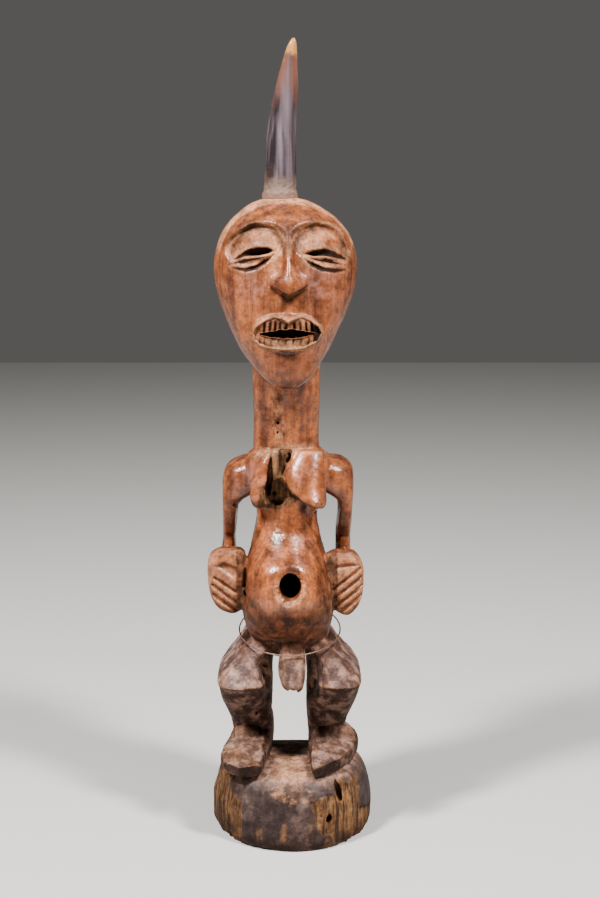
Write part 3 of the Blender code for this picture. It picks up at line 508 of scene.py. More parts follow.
def carvedFigure():
    head = levelRings(headRows, 460, 0.8, crowd=0.45)
    x, y, z = head[..., 0], head[..., 1], head[..., 2]
    facing = easeStep(-y, -4.0, 26.0) * easeStep(z, 394.0, 410.0)
    head = np.stack([x, y - faceForm(x, z) * facing, z], axis=2)
    figure = closedSkin("figureWood", levelRings(torsoRows, 160, 1.6))
    parts = [closedSkin("headForm", head)]
    for name, rows, columns, step in plainForms:
        parts.append(closedSkin(name, levelRings(rows, columns, step)))
    for name, rows in (("footLeftForm", footLeftRows), ("footRightForm", footRightRows)):
        parts.append(closedSkin(name, levelRings(rows, 90, 1.4, lying=True)))
    parts.append(closedSkin("baseForm", baseForm(levelRings(baseRows, 420, 1.2, widest=0.56))))
    parts.append(cutBlock("forearmLeftForm", [(-61.0, 228.0), (-45.6, 228.0), (-46.6, 238.6), (-60.0, 238.6)],
                          -20.0, 17.0, far=0.8))
    parts.append(cutBlock("forearmRightForm", [(34.8, 227.4), (50.6, 227.4), (49.6, 237.6), (36.0, 237.6)],
                          -20.0, 17.0, far=0.8))
    return figure, parts


figure, formParts = carvedFigure()
print("forms of the figure:", len(formParts) + 1)

# The deep crescents above and below each eye, and the slit between the lids.
eyeAbove = [[(-45.8, 484.8), (-39.0, 490.4), (-33.6, 493.2), (-26.2, 494.6), (-18.6, 494.4), (-14.4, 491.8),
             (-18.6, 489.6), (-26.2, 488.0), (-36.8, 487.4)],
            [(9.4, 489.4), (16.7, 492.0), (25.3, 493.4), (32.8, 491.2), (39.2, 488.0), (43.8, 484.2),
             (38.6, 485.0), (32.8, 486.6), (25.3, 487.8), (16.7, 487.6)]]
eyeBelow = [[(-48.2, 478.6), (-36.8, 475.0), (-28.3, 477.0), (-20.8, 481.6), (-14.6, 488.6), (-21.8, 484.6),
             (-28.3, 480.6), (-36.8, 478.2)],
            [(9.2, 486.2), (15.2, 479.8), (24.2, 475.6), (33.8, 474.4), (45.0, 476.4), (33.8, 477.6),
             (24.2, 479.0), (16.7, 482.4)]]
eyeSlit = [lensOutline((-51.4, 480.9), (-19.0, 487.6), 0.9, 0.9),
           lensOutline((15.0, 485.6), (42.4, 480.6), 0.9, 0.9)]
eyeHole = [lensOutline((-42.6, 482.0), (-33.0, 485.0), 1.9, 1.7, 6, 0.4, 3),
           lensOutline((23.0, 484.8), (33.0, 483.8), 1.6, 1.6, 6, 0.4, 4)]

# What is bored, split, rotted or eaten out of the wood.
boreX, boreZ = figureSizes["boreMiddle"]
turns = np.linspace(0.0, 2.0 * math.pi, 48, endpoint=False)
boreWide, boreTall = figureSizes["boreHalf"]
boreLine = [(boreX + boreWide * math.cos(t), boreZ + boreTall * math.sin(t)) for t in turns]
lossParts = [
    cutBlock("bellyBore", boreLine, -75.0, figureSizes["boreBack"], far=0.94),
    cutBlock("mouthGap", lensOutline((-30.4, 426.6), (23.0, 426.8), 3.9, 3.5, 24, 0.8, 5),
             -70.0, -47.0, far=0.92),
    cutBlock("chestCrack", lensOutline((-17.2, 331.0), (-20.6, 279.0), 3.0, 2.8, 16, 0.7, 3),
             -50.0, -4.0, far=0.7),
    cutBlock("chestLoss", [(-11.6, 330.4), (1.0, 330.4), (-1.0, 325.0), (-3.4, 318.0), (-6.4, 311.0),
                           (-8.0, 306.6), (-11.8, 307.4)], -50.0, -15.0, far=0.9),
    cutBlock("chestRot", [(-24.0, 299.0), (-17.0, 303.4), (-11.6, 305.6), (-7.0, 301.0), (-2.0, 295.0),
                          (3.2, 290.4), (1.6, 287.4), (-6.0, 285.8), (-9.4, 282.2), (-18.4, 283.4),
                          (-23.0, 286.0)], -50.0, -15.0, far=0.9),
    cutBlock("chestHollow", lensOutline((-6.2, 314.6), (-0.4, 324.2), 1.9, 1.6, 8, 0.5, 6),
             -50.0, -9.0, far=0.8),
    cutBlock("chestSeam", lensOutline((-6.8, 316.0), (-4.0, 290.0), 1.1, 0.9, 12, 0.5, 7),
             -50.0, -13.0, far=0.8),
    cutBlock("seamLeft", lensOutline((-38.9, 241.0), (-38.6, 193.0), 0.9, 2.2, 20, 0.7, 9),
             -60.0, -21.0, far=0.8),
    cutBlock("seamRight", lensOutline((29.0, 238.0), (30.6, 194.0), 0.8, 0.6, 20, 0.4, 10),
             -60.0, -22.0, far=0.8),
    cutBlock("baseSplit", lensOutline((33.4, 61.4), (42.6, 29.0), 3.6, 3.6, 12, 1.0, 8),
             -74.0, -38.0, far=0.66),
    cutBlock("baseHole", lensOutline((28.4, 19.0), (32.0, 31.6), 3.0, 2.8, 8, 0.8, 2), -76.0, -48.0, far=0.7),
    *[cutBlock("eyeCrescent", line, -62.0, -38.6, far=0.96) for line in eyeAbove],
    *[cutBlock("eyeFold", line, -62.0, -42.0, far=0.84) for line in eyeBelow],
    cutBlock("pegNotch", [(-3.8, 124.0), (4.8, 124.0), (3.6, 131.4), (0.6, 130.0), (-2.6, 132.6)],
             -56.0, -18.0),
    *[cutBlock("eyeSlit", line, -62.0, -45.4) for line in eyeSlit],
    *[cutBlock("eyeHole", line, -62.0, -43.6) for line in eyeHole],
    cutBlock("baseSplitLeft", lensOutline((-54.4, 50.0), (-56.4, 12.0), 1.2, 1.2, 10, 0.4, 4),
             -70.0, -34.0, far=0.7),
]


def wormHole(place, aim, radius, deep, seed):
    chance = np.random.default_rng(seed)
    aim = Vector(aim).normalized()
    sideways = aim.orthogonal().normalized()
    other = aim.cross(sideways)
    rings = []
    for distance, share in ((-6.0, 1.0), (deep * 0.5, 1.0), (deep, 0.5)):
        ring = []
        for i in range(10):
            t = 2.0 * math.pi * i / 10
            reach = radius * share * chance.uniform(0.8, 1.15)
            outward = sideways * math.cos(t) + other * math.sin(t)
            ring.append(Vector(place) + aim * distance + outward * reach)
        rings.append([tuple(v) for v in ring])
    return closedSkin("wormHole", rings)


wormSpots = [
    ((-11.8, -14.0, 350.4), (0, 1, 0), 1.2, 7), ((-12.0, -14.0, 342.6), (0, 1, 0), 1.0, 6),
    ((-1.9, -16.0, 323.5), (0, 1, 0.1), 1.6, 9), ((-14.8, -18.0, 291.6), (0, 1, 0), 1.7, 8),
    ((-10.2, -18.0, 287.0), (0, 1, 0), 1.2, 8), ((-5.6, -20.0, 296.0), (0, 1, 0), 1.4, 7),
    ((23.8, -66.0, 28.4), (0, 1, 0), 1.3, 8), ((37.6, -60.0, 24.6), (0, 1, 0), 1.8, 8),
    ((36.0, -60.0, 19.0), (-0.2, 1, 0), 1.4, 7), ((-30.6, -20.0, 103.4), (0, 1, -0.3), 1.7, 8),
    ((-25.4, -18.0, 99.0), (0, 1, -0.3), 1.3, 7), ((-22.4, -6.0, 83.0), (0, 1, -0.5), 1.6, 7),
    ((-11.6, -28.0, 62.5), (0, 0.3, -1), 1.8, 6), ((-31.0, -36.0, 79.6), (0, 0.3, -1), 1.4, 6)]
for k, (place, aim, radius, deep) in enumerate(wormSpots):
    lossParts.append(wormHole(place, aim, radius, deep, 70 + k))

for thing, how in [(p, "UNION") for p in formParts] + [(p, "DIFFERENCE") for p in lossParts]:
    change = figure.modifiers.new(thing.name, "BOOLEAN")
    change.solver = "MANIFOLD"
    change.operation = how
    change.object = thing
even = figure.modifiers.new("even", "REMESH")
even.mode = "VOXEL"
even.voxel_size = figureSizes["grain"]
wood = evaluated(figure)
figure.modifiers.clear()
figure.data = wood
for thing in formParts + lossParts:
    bpy.data.objects.remove(thing, do_unlink=True)
print("carving grid:", len(wood.vertices))

# Carving by the point.
points = meshPoints(wood)
edges = meshEdges(wood)
points = points + (smoothed(points, edges, 3) - points) * 0.9
putPoints(wood, points)

browLeft = [(-52.0, 491.5), (-49.8, 497.1), (-41.9, 507.3), (-34.7, 512.7), (-28.0, 514.3), (-22.9, 512.9),
            (-14.1, 510.4), (-10.2, 506.3), (-6.3, 501.3), (-3.4, 495.4), (-2.8, 489.0)]
browRight = [(-1.6, 489.0), (-0.8, 493.0), (0.2, 498.7), (3.3, 504.5), (9.5, 510.2), (17.3, 513.5),
             (21.3, 514.3), (29.2, 512.7), (36.7, 508.1), (42.6, 501.6), (46.4, 492.0)]
hairLine = [(-60.6, 482.0), (-57.6, 493.0), (-52.9, 503.6), (-42.6, 517.0), (-26.1, 525.9), (-4.7, 529.0),
            (16.7, 525.9), (33.2, 517.0), (44.8, 503.6), (50.2, 490.9), (51.6, 482.0)]
mouthLine = [(-31.4, 427.1), (-28.6, 432.4), (-21.0, 438.4), (-14.2, 440.8), (-7.6, 439.2), (-2.6, 436.0),
             (1.8, 438.8), (7.9, 440.9), (15.0, 438.0), (21.6, 432.4), (23.7, 427.1), (20.2, 420.6),
             (9.5, 415.2), (-4.0, 414.8), (-18.0, 415.2), (-26.4, 418.2), (-30.2, 421.6)]


# Where the cuts between the teeth stand, from left to right.
upperTeeth = (-22.1, -17.4, -13.3, -9.2, -4.6, 1.9, 6.4, 11.2, 15.8, 20.2)
lowerTeeth = (-25.4, -21.6, -16.2, -10.8, -4.8, 1.2, 7.1, 13.0, 17.6)


# Fine cuts and edges of the face, as forward distance.
def faceCuts(x, z):
    out = np.zeros(x.shape)
    for line in (browLeft, browRight):
        away, along = nearLine(x, z, line)
        out += 0.75 * hump(away, 0.0, 0.9) * easeStep(along, 0.0, 0.12)
    away, _ = nearLine(x, z, hairLine)
    outward = insideOf(x, z, hairLine)
    rim = np.where(outward > 0.0, -0.9 * hump(away, 1.2, 1.8), 0.9 * hump(away, 0.6, 2.4))
    out += rim * easeStep(z, 484.0, 496.0)
    for line in eyeAbove + eyeBelow:
        out += 0.55 * hump(insideOf(x, z, line), -1.3, 1.0)
    # The lips' rim, and the teeth sunk inside it.
    inside = insideOf(x, z, mouthLine)
    out += 1.2 * hump(inside, -0.4, 1.2)
    out -= 2.6 * easeStep(inside, 0.4, 1.9)
    for k, tooth in enumerate(upperTeeth):
        lean = tooth + (z - 431.0) * (0.08 if tooth < -4.0 else -0.08)
        reach = easeStep(inside, 0.8, 1.8) * easeStep(z, 427.0, 428.5) * (1.0 - easeStep(z, 434.5, 438.0))
        out -= (2.8 + 0.5 * (k % 3)) * hump(x, lean, 0.62 + (435.0 - np.minimum(z, 435.0)) * 0.10) * reach
    for k, tooth in enumerate(lowerTeeth):
        reach = easeStep(inside, 0.8, 1.6) * (1.0 - easeStep(z, 423.4, 425.0)) * easeStep(z, 416.4, 418.6)
        out -= (0.9 + 0.3 * (k % 2)) * hump(x, tooth + 0.3 * np.sin(z), 0.55) * reach
    # The groove beside each wing of the nose, and the dip above the upper lip.
    for line in ([(-19.4, 472.0), (-20.2, 466.0), (-16.0, 461.6), (-9.0, 457.4)],
                 [(12.8, 470.6), (14.2, 465.6), (9.4, 461.0), (3.6, 457.2)]):
        away, _ = nearLine(x, z, line)
        out -= 0.9 * hump(away, 0.0, 1.6)
    out += 0.7 * hump(np.hypot(x + 3.0, (z - 444.0) * 1.4), 0.0, 6.0)
    return out


# Cuts between the fingers, each from its outer to its inner end.
fingersLeft = [((-64.4, 222.6), (-47.0, 210.4)), ((-66.2, 216.4), (-47.0, 201.4)),
               ((-65.4, 207.6), (-46.4, 193.4))]
fingersRight = [((56.0, 230.2), (33.4, 212.0)), ((57.0, 222.8), (34.8, 205.0)),
                ((57.8, 215.4), (35.6, 197.2)), ((57.6, 207.6), (39.4, 192.0))]


def handCuts(x, z):
    out = np.zeros(x.shape)
    for start, end in fingersLeft + fingersRight:
        away, _ = nearLine(x, z, [start, end])
        out -= 2.6 * hump(away, 0.0, 1.15)
    for outline in ([(-65.0, 232.6), (-56.0, 236.8), (-44.6, 231.6), (-46.4, 219.4)],
                    [(33.8, 228.8), (36.4, 233.8), (45.6, 235.4), (55.6, 234.6), (56.2, 231.6)]):
        inside = insideOf(x, z, outline)
        out -= 2.2 * easeStep(inside, -0.4, 3.0)
    return out


x, y, z = points.T
normals = meshNormals(wood)
ahead = easeStep(-normals[:, 1], 0.15, 0.5)
onFace = (y < -30.0) & (z > 396.0) & (z < 533.0)
points[:, 1] -= np.where(onFace, faceCuts(x, z), 0.0) * ahead
onHands = (np.abs(x + 5.0) > 32.0) & (z > 186.0) & (z < 247.0) & (y < -18.0)
points[:, 1] -= np.where(onHands, handCuts(x, z), 0.0) * ahead

# The worn, chipped rim of the hollow in the belly.
away = np.hypot((x - boreX) / boreWide, (z - boreZ) / boreTall)
atRim = (y < -44.0) & (away < 2.2)
chipped = 2.4 * hump(away, 1.0, 0.30) * (1.0 + 0.5 * ((x < boreX) & (z < boreZ)))
chipped *= 1.0 + 0.9 * rough(points, (5.0, 5.0, 3.0), 12, 3)
points[:, 1] += np.where(atRim, chipped, 0.0)

# Ragged rot of the chest and its lip.
rotOutline = [(-26.0, 300.0), (-17.0, 305.0), (-11.0, 308.0), (-6.0, 303.0), (-1.0, 297.0), (5.0, 291.0),
              (2.0, 285.6), (-6.0, 283.6), (-10.0, 279.4), (-19.0, 280.6), (-27.0, 284.0)]
inChest = easeStep(insideOf(x, z, rotOutline), -2.0, 2.0) * (y < -6.0) * (y > -46.0)
points += normals * (inChest * (1.4 * rough(points, (3.0, 3.0, 6.0), 21, 3) - 0.5))[:, None]


# Pares a flat off everything that stands past a plane, inside a box of (low, high) corners.
def pare(points, place, facing, low, high):
    facing = np.array(facing, float) / math.hypot(*facing)
    inBox = np.all((points > np.array(low)) & (points < np.array(high)), axis=1)
    past = (points - np.array(place)) @ facing
    past = np.where(inBox, np.maximum(past, 0.0), 0.0)
    return points - past[:, None] * facing[None, :] * 0.96


pares = [
    # Under the right breast.
    ((20.0, -40.0, 284.0), (0.0, -0.25, -1.0), (6.0, -50.0, 278.0), (30.0, -20.0, 292.0)),
    # The peg: a flat front, two flats beside it and a broken end.
    ((0.0, -43.6, 150.0), (-0.05, -1.0, -0.02), (-14.0, -50.0, 124.0), (13.0, -20.0, 166.0)),
    ((-7.4, -43.0, 150.0), (-0.8, -0.6, 0.0), (-14.0, -50.0, 124.0), (0.0, -20.0, 166.0)),
    ((7.2, -43.0, 150.0), (0.8, -0.6, 0.0), (0.0, -50.0, 124.0), (13.0, -20.0, 166.0)),
    ((-8.2, -36.0, 131.0), (-0.96, -0.1, -0.28), (-14.0, -50.0, 124.0), (2.0, -18.0, 160.0)),
    ((8.8, -36.0, 131.0), (0.97, -0.1, -0.22), (0.0, -50.0, 124.0), (13.0, -18.0, 160.0)),
    # The toes' lips.
    ((22.4, -54.0, 62.0), (0.63, -0.77, -0.10), (14.0, -62.0, 58.0), (60.0, 4.0, 90.0)),
    ((-32.0, -54.6, 62.0), (0.10, -1.0, -0.12), (-64.0, -62.0, 58.0), (-20.0, -30.0, 90.0)),
    ((-50.0, -50.6, 62.0), (-0.62, -0.78, -0.12), (-64.0, -62.0, 58.0), (-40.0, -20.0, 90.0)),
    # The tops of the feet, hewn flat and sloping forward.
    ((40.0, -30.0, 74.4), (0.10, -0.30, 1.0), (12.0, -60.0, 60.0), (60.0, -14.0, 92.0)),
    ((-40.0, -36.0, 75.4), (-0.12, -0.30, 1.0), (-64.0, -60.0, 60.0), (-18.0, -16.0, 92.0)),
    # The thighs above the knees and the shins below.
    ((-43.0, -42.6, 137.0), (-0.14, -1.0, 0.62), (-70.0, -50.0, 133.4), (-22.0, -10.0, 160.0)),
    ((39.0, -42.4, 137.0), (0.14, -1.0, 0.62), (20.0, -50.0, 133.4), (64.0, -10.0, 160.0)),
    ((-42.0, -36.2, 122.0), (-0.06, -1.0, -0.78), (-64.0, -50.0, 84.0), (-20.0, -4.0, 131.0)),
    ((36.0, -36.0, 122.0), (0.06, -1.0, -0.78), (10.0, -50.0, 84.0), (60.0, -4.0, 131.0)),
]
for place, facing, low, high in pares:
    points = pare(points, place, facing, low, high)
x, y, z = points.T
putPoints(wood, points)
normals = meshNormals(wood)

# The small flats that the adze left, shallow on the worn body and deeper on the legs and the back.
chance = np.random.default_rng(12)
kept = (y < -4.0) & (z > 380.0)
kept |= (y < -8.0) & (z > 278.0) & (z < 332.0) & (np.abs(x) < 36.0)
kept |= (y < -12.0) & (z > 184.0) & (z < 250.0)
kept |= (y < -30.0) & (z > 196.0) & (z < 250.0)
kept |= (z < 62.0)
free = np.nonzero(~kept)[0]
for k in chance.choice(free, 700, replace=False):
    place, facing = points[k], normals[k]
    rubbed = place[1] < -20.0 and 176.0 < place[2] < 300.0
    depth = chance.uniform(0.03, 0.08) if rubbed else chance.uniform(0.12, 0.40)
    near = np.nonzero(np.abs(points - place).max(1) < 7.0)[0]
    near = near[~kept[near] & (normals[near] @ facing > 0.6)]
    past = (points[near] - place) @ facing + depth
    near, past = near[past > 0.0], past[past > 0.0]
    points[near] -= past[:, None] * facing[None, :] * 0.9

wormPatch = [(-60.0, 84.0), (-40.0, 88.0), (-12.0, 96.0), (-14.0, 72.0), (-34.0, 69.0), (-60.0, 71.0)]


# How far the worms have eaten the left foot and shin, 0 to 1, in ragged patches.
def wormDamage(points):
    x, y, z = points.T
    eaten = easeStep(insideOf(x, z, wormPatch), -3.0, 2.0) * easeStep(-y, -6.0, 8.0)
    return eaten * easeStep(rough(points, (11.0, 11.0, 7.0), 87, 2), -0.05, 0.25)


neckPatch = [(-20.0, 380.0), (-9.0, 382.0), (-7.6, 362.0), (-7.0, 336.0), (-14.0, 334.0), (-18.0, 352.0)]


# The rough patch low on the neck, 0 to 1.
def neckDamage(points):
    x, y, z = points.T
    return easeStep(insideOf(x, z, neckPatch), -1.5, 1.5) * (y < -8.0) * (z < 382.0)


# Handling everywhere, and open fibre where the wood is bare.
putPoints(wood, points)
normals = meshNormals(wood)
x, y, z = points.T
turn = np.arctan2(x, -y)
fibrous = baseRot(turn, z) * (z < 56.0) * (np.hypot(x, y) > 46.0)
handled = 0.14 * rough(points, (9.0, 9.0, 14.0), 41, 2) + 0.06 * lumps(points, (2.2, 2.2, 5.0), 44)
points += normals * handled[:, None]
around = np.stack([turn * 66.0, z * 0.0, z], axis=1)
points += normals * (fibrous * 0.9 * rough(around, (2.4, 1.0, 34.0), 47, 2))[:, None]
# The damage of the left foot and shin, and the rough patch low on the neck.
worm = wormDamage(points)
neckRot = neckDamage(points)
points += normals * (worm * (1.1 * rough(points, (4.0, 4.0, 2.2), 88, 3) - 0.7))[:, None]
points += normals * (neckRot * (0.8 * rough(points, (2.6, 2.6, 6.0), 89, 3) - 0.4))[:, None]
boxLow, boxHigh = np.array(figureLow) / unit, np.array(figureHigh) / unit
putPoints(wood, np.clip(points, boxLow, boxHigh))

# Fewer triangles, where the form is plain.
fewer = figure.modifiers.new("fewer", "DECIMATE")
wood.calc_loop_triangles()
fewer.ratio = min(1.0, figureSizes["mostTriangles"] / len(wood.loop_triangles))
fewer.use_collapse_triangulate = True
light = evaluated(figure)
figure.modifiers.clear()
figure.data = light
bpy.data.meshes.remove(wood)
wood = light
print("figure triangles:", len(wood.polygons))

# What the surface tells the material, as values from 0 to 1 at its points.
points = np.clip(meshPoints(wood), boxLow, boxHigh)
putPoints(wood, points)
edges, normals = meshEdges(wood), meshNormals(wood)
x, y, z = points.T
turn = np.arctan2(x, -y)
neckRot, worm = neckDamage(points), wormDamage(points)
bend = np.einsum("ij,ij->i", points - smoothed(points, edges, 6), normals)
broad = np.einsum("ij,ij->i", points - smoothed(points, edges, 40), normals)
patch = rough(points, (16.0, 16.0, 16.0), 5, 3)
fine = rough(points, (4.0, 4.0, 6.0), 6, 2)
neckFlecks = rough(points, (2.2, 2.2, 4.0), 27, 2)
hollow = easeStep(-broad, 0.15, 1.5)
edgeWear = easeStep(bend, 0.06, 0.40)
front = easeStep(-normals[:, 1], 0.0, 0.5)
upward = smoothed(easeStep(normals[:, 2], 0.25, 0.85), edges, 12)
downward = smoothed(easeStep(-normals[:, 2], 0.02, 0.55), edges, 4)
onFace = front * (y < -18.0) * (z > 383.0)
inMouth = insideOf(x, z, mouthLine)
outsideFace = easeStep(-insideOf(x, z, hairLine), -0.4, 1.2) * easeStep(z, 486.0, 498.0)
besideMiddle = np.abs(x + 4.5)
boreAway = np.hypot((x - boreX) / boreWide, (z - boreZ) / boreTall)


# A soft round or oval place seen from the front, and a soft stripe along a line.
def blot(cx, cz, rx, rz):
    return np.exp(-((x - cx) / rx) ** 2 - ((z - cz) / rz) ** 2)


def stripe(line, width):
    away, _ = nearLine(x, z, line)
    return hump(away, 0.0, width)


# The eye sockets, and the shadow under each brow.
sockets, underBrow = 0.0 * x, 0.0 * x
for cx, tilt, brow in ((-29.2, 0.30, browLeft), (24.0, -0.30, browRight)):
    du, dz = x - cx, z - 496.2
    su, sz = du * math.cos(tilt) + dz * math.sin(tilt), dz * math.cos(tilt) - du * math.sin(tilt)
    within = 1.0 - easeStep(np.sqrt((su / 25.0) ** 2 + (sz / 16.0) ** 2), 0.86, 1.04)
    sockets = np.maximum(sockets, within)
    away, along = nearLine(x, z, brow)
    underBrow = np.maximum(underBrow, within * hump(away, 3.0, 2.2) * (z > 494.0))
slits, rims = 0.0 * x, 0.0 * x
for line in eyeAbove + eyeBelow + eyeSlit + eyeHole:
    inside = insideOf(x, z, line)
    slits = np.maximum(slits, easeStep(inside, -0.5, 0.5))
    rims = np.maximum(rims, hump(inside, -1.4, 0.9))
lidTops = np.maximum(blot(-33.0, 499.2, 11.0, 3.6), blot(29.5, 498.6, 10.0, 4.6))
# Painted shadow under the nose: a band along its foot and a spot under its tip.
noseFoot = 457.4 + np.abs(x + 2.6) * 0.5
paintedNoseShadow = hump(z, noseFoot - 2.2, 2.6) * (np.abs(x + 2.6) < 15.0) + blot(-2.0, 453.4, 4.6, 3.2)


# Pale dust: in the sockets, round the lips, on ledges and in scratches, and on upward surfaces low down,
# partly as painted light from above.
def dustLayer():
    brows = np.maximum(stripe(browLeft, 1.3), stripe(browRight, 1.3))
    besideNose = np.maximum(blot(-14.0, 484.0, 4.2, 12.0), 0.5 * blot(9.6, 484.0, 3.0, 10.0))
    underNose = blot(-12.0, 452.0, 6.0, 4.6) + 0.7 * blot(6.0, 452.0, 6.0, 4.0)
    scuffs = easeStep(rough(points, (9.0, 9.0, 2.6), 17, 2), 0.12, 0.4) * blot(-8.0, 514.0, 24.0, 6.0)
    onPalm = easeStep(np.abs(x + 5.5) - 33.0, 0.0, 3.0) * (z > 186.0) * (z < 248.0) * easeStep(-y, 12.0, 20.0)
    boreRim = hump(boreAway, 1.22 + 0.10 * ((x < boreX) & (z < boreZ)), 0.16) * (y < -46.0)
    boreRim *= easeStep(-(z - boreZ) / boreTall + 0.9 * fine, -0.9, 0.2)
    scratches = easeStep(rough(points, (16.0, 16.0, 0.9), 19, 2), 0.12, 0.42) * hump(z, 202.0, 12.0)
    handSeamLeft = [(-41.4, 240.0), (-43.0, 228.0), (-42.4, 212.0), (-41.6, 198.0), (-38.6, 190.0)]
    handSeamRight = [(30.6, 238.0), (33.0, 225.0), (33.4, 206.0), (32.0, 193.0)]
    seams = np.maximum(stripe(handSeamLeft, 2.2), stripe(handSeamRight, 1.4))
    baseScuffs = (blot(-11.5, 57.0, 3.0, 2.6) + blot(-13.0, 50.0, 7.0, 4.0) + blot(-3.0, 44.5, 6.0, 3.0)
                  + blot(13.5, 50.0, 3.4, 2.6) + blot(7.0, 44.0, 9.0, 2.4))
    breastLedge = [(-32.4, 324.4), (-20.0, 326.9), (-7.7, 329.0), (6.3, 330.6), (21.1, 329.4), (25.2, 326.9)]
    face = (0.62 * sockets * (1.0 - 0.9 * lidTops) * (1.0 - 0.8 * underBrow) + 0.35 * rims
            + 0.7 * brows * (z > 488.0) + 0.9 * hump(inMouth, -0.8, 1.3) + 0.55 * easeStep(inMouth, 0.0, 1.0)
            + 0.6 * besideNose + 0.3 * underNose + 0.35 * scuffs)
    dust = np.maximum.reduce([
        onFace * np.clip(face, 0.0, 1.0) * (1.0 - slits),
        outsideFace * easeStep(-y, -8.0, 10.0) * 0.85 * (z > 488.0),
        0.6 * easeStep(z, 527.0, 532.0),
        0.85 * stripe(breastLedge, 2.4) * front * (y < -6.0),
        onPalm * (0.22 + 0.35 * hollow + 0.45 * edgeWear),
        0.85 * boreRim,
        # Lighter on upward surfaces low down: dust, and partly painted light from above.
        upward * (z < 130.0) * 0.22 * easeStep(patch, -0.5, 0.3),
        blot(-1.0, 60.0, 16.0, 14.0) * (y < -10.0) * upward * 0.8 * (z < 66.0) * easeStep(z, 52.0, 60.0),
        0.38 * scratches * (y < -30.0),
        0.7 * seams * (y < -12.0),
        baseScuffs * (y < -40.0) * easeStep(rough(points, (3.0, 3.0, 2.4), 18, 2), -0.12, 0.2),
        0.62 * neckRot * easeStep(neckFlecks, -0.2, 0.2),
        0.30 * hollow])
    return np.clip(dust + 0.30 * fine * (dust > 0.05), 0.0, 1.0)


# The rot of the chest, with the strip lost beside the left breast.
def chestLayer():
    chest = easeStep(insideOf(x, z, rotOutline), -2.5, 1.5) * (y < -4.0)
    lost = easeStep(insideOf(x, z, [(-18.0, 331.0), (2.0, 331.0), (-8.0, 304.0), (-22.0, 304.0)]), -1.0, 1.0)
    return np.maximum(chest, lost * (y > -24.0) * (y < -6.0))


# Bare, rotten wood: the base's lost skin, the worm damage, the chest and the gums.
def bareLayer():
    around = np.stack([turn * 66.0, z * 0.0, z], axis=1)
    tongues = easeStep(rough(around, (7.0, 1.0, 13.0), 66, 2) - z * 0.012, 0.06, 0.24)
    tongues *= (z < 30.0) * (np.abs(turn) < 0.75)
    onSide = easeStep(np.hypot(x, y), 50.0, 56.0) * (z < 57.0)
    gums = onFace * easeStep(inMouth, 0.8, 1.8) * easeStep(424.6 - z, 0.0, 1.6)
    bare = np.maximum.reduce([baseRot(turn, z) * onSide, tongues * 0.75 * onSide, worm * 0.75, chest])
    return np.where(z > 340.0, 0.7 * gums, bare)


# Painted shade in the cuts between the teeth.
def toothGaps():
    gaps = 0.0 * x
    for tooth in upperTeeth:
        lean = tooth + (z - 431.0) * (0.08 if tooth < -4.0 else -0.08)
        gaps += hump(x, lean, 0.8) * easeStep(z, 427.0, 428.5) * (1.0 - easeStep(z, 434.5, 438.0))
    for tooth in lowerTeeth:
        gaps += 0.8 * hump(x, tooth + 0.3 * np.sin(z), 0.8) * hump(z, 419.6, 2.4)
    return gaps * (inMouth > 0.8)


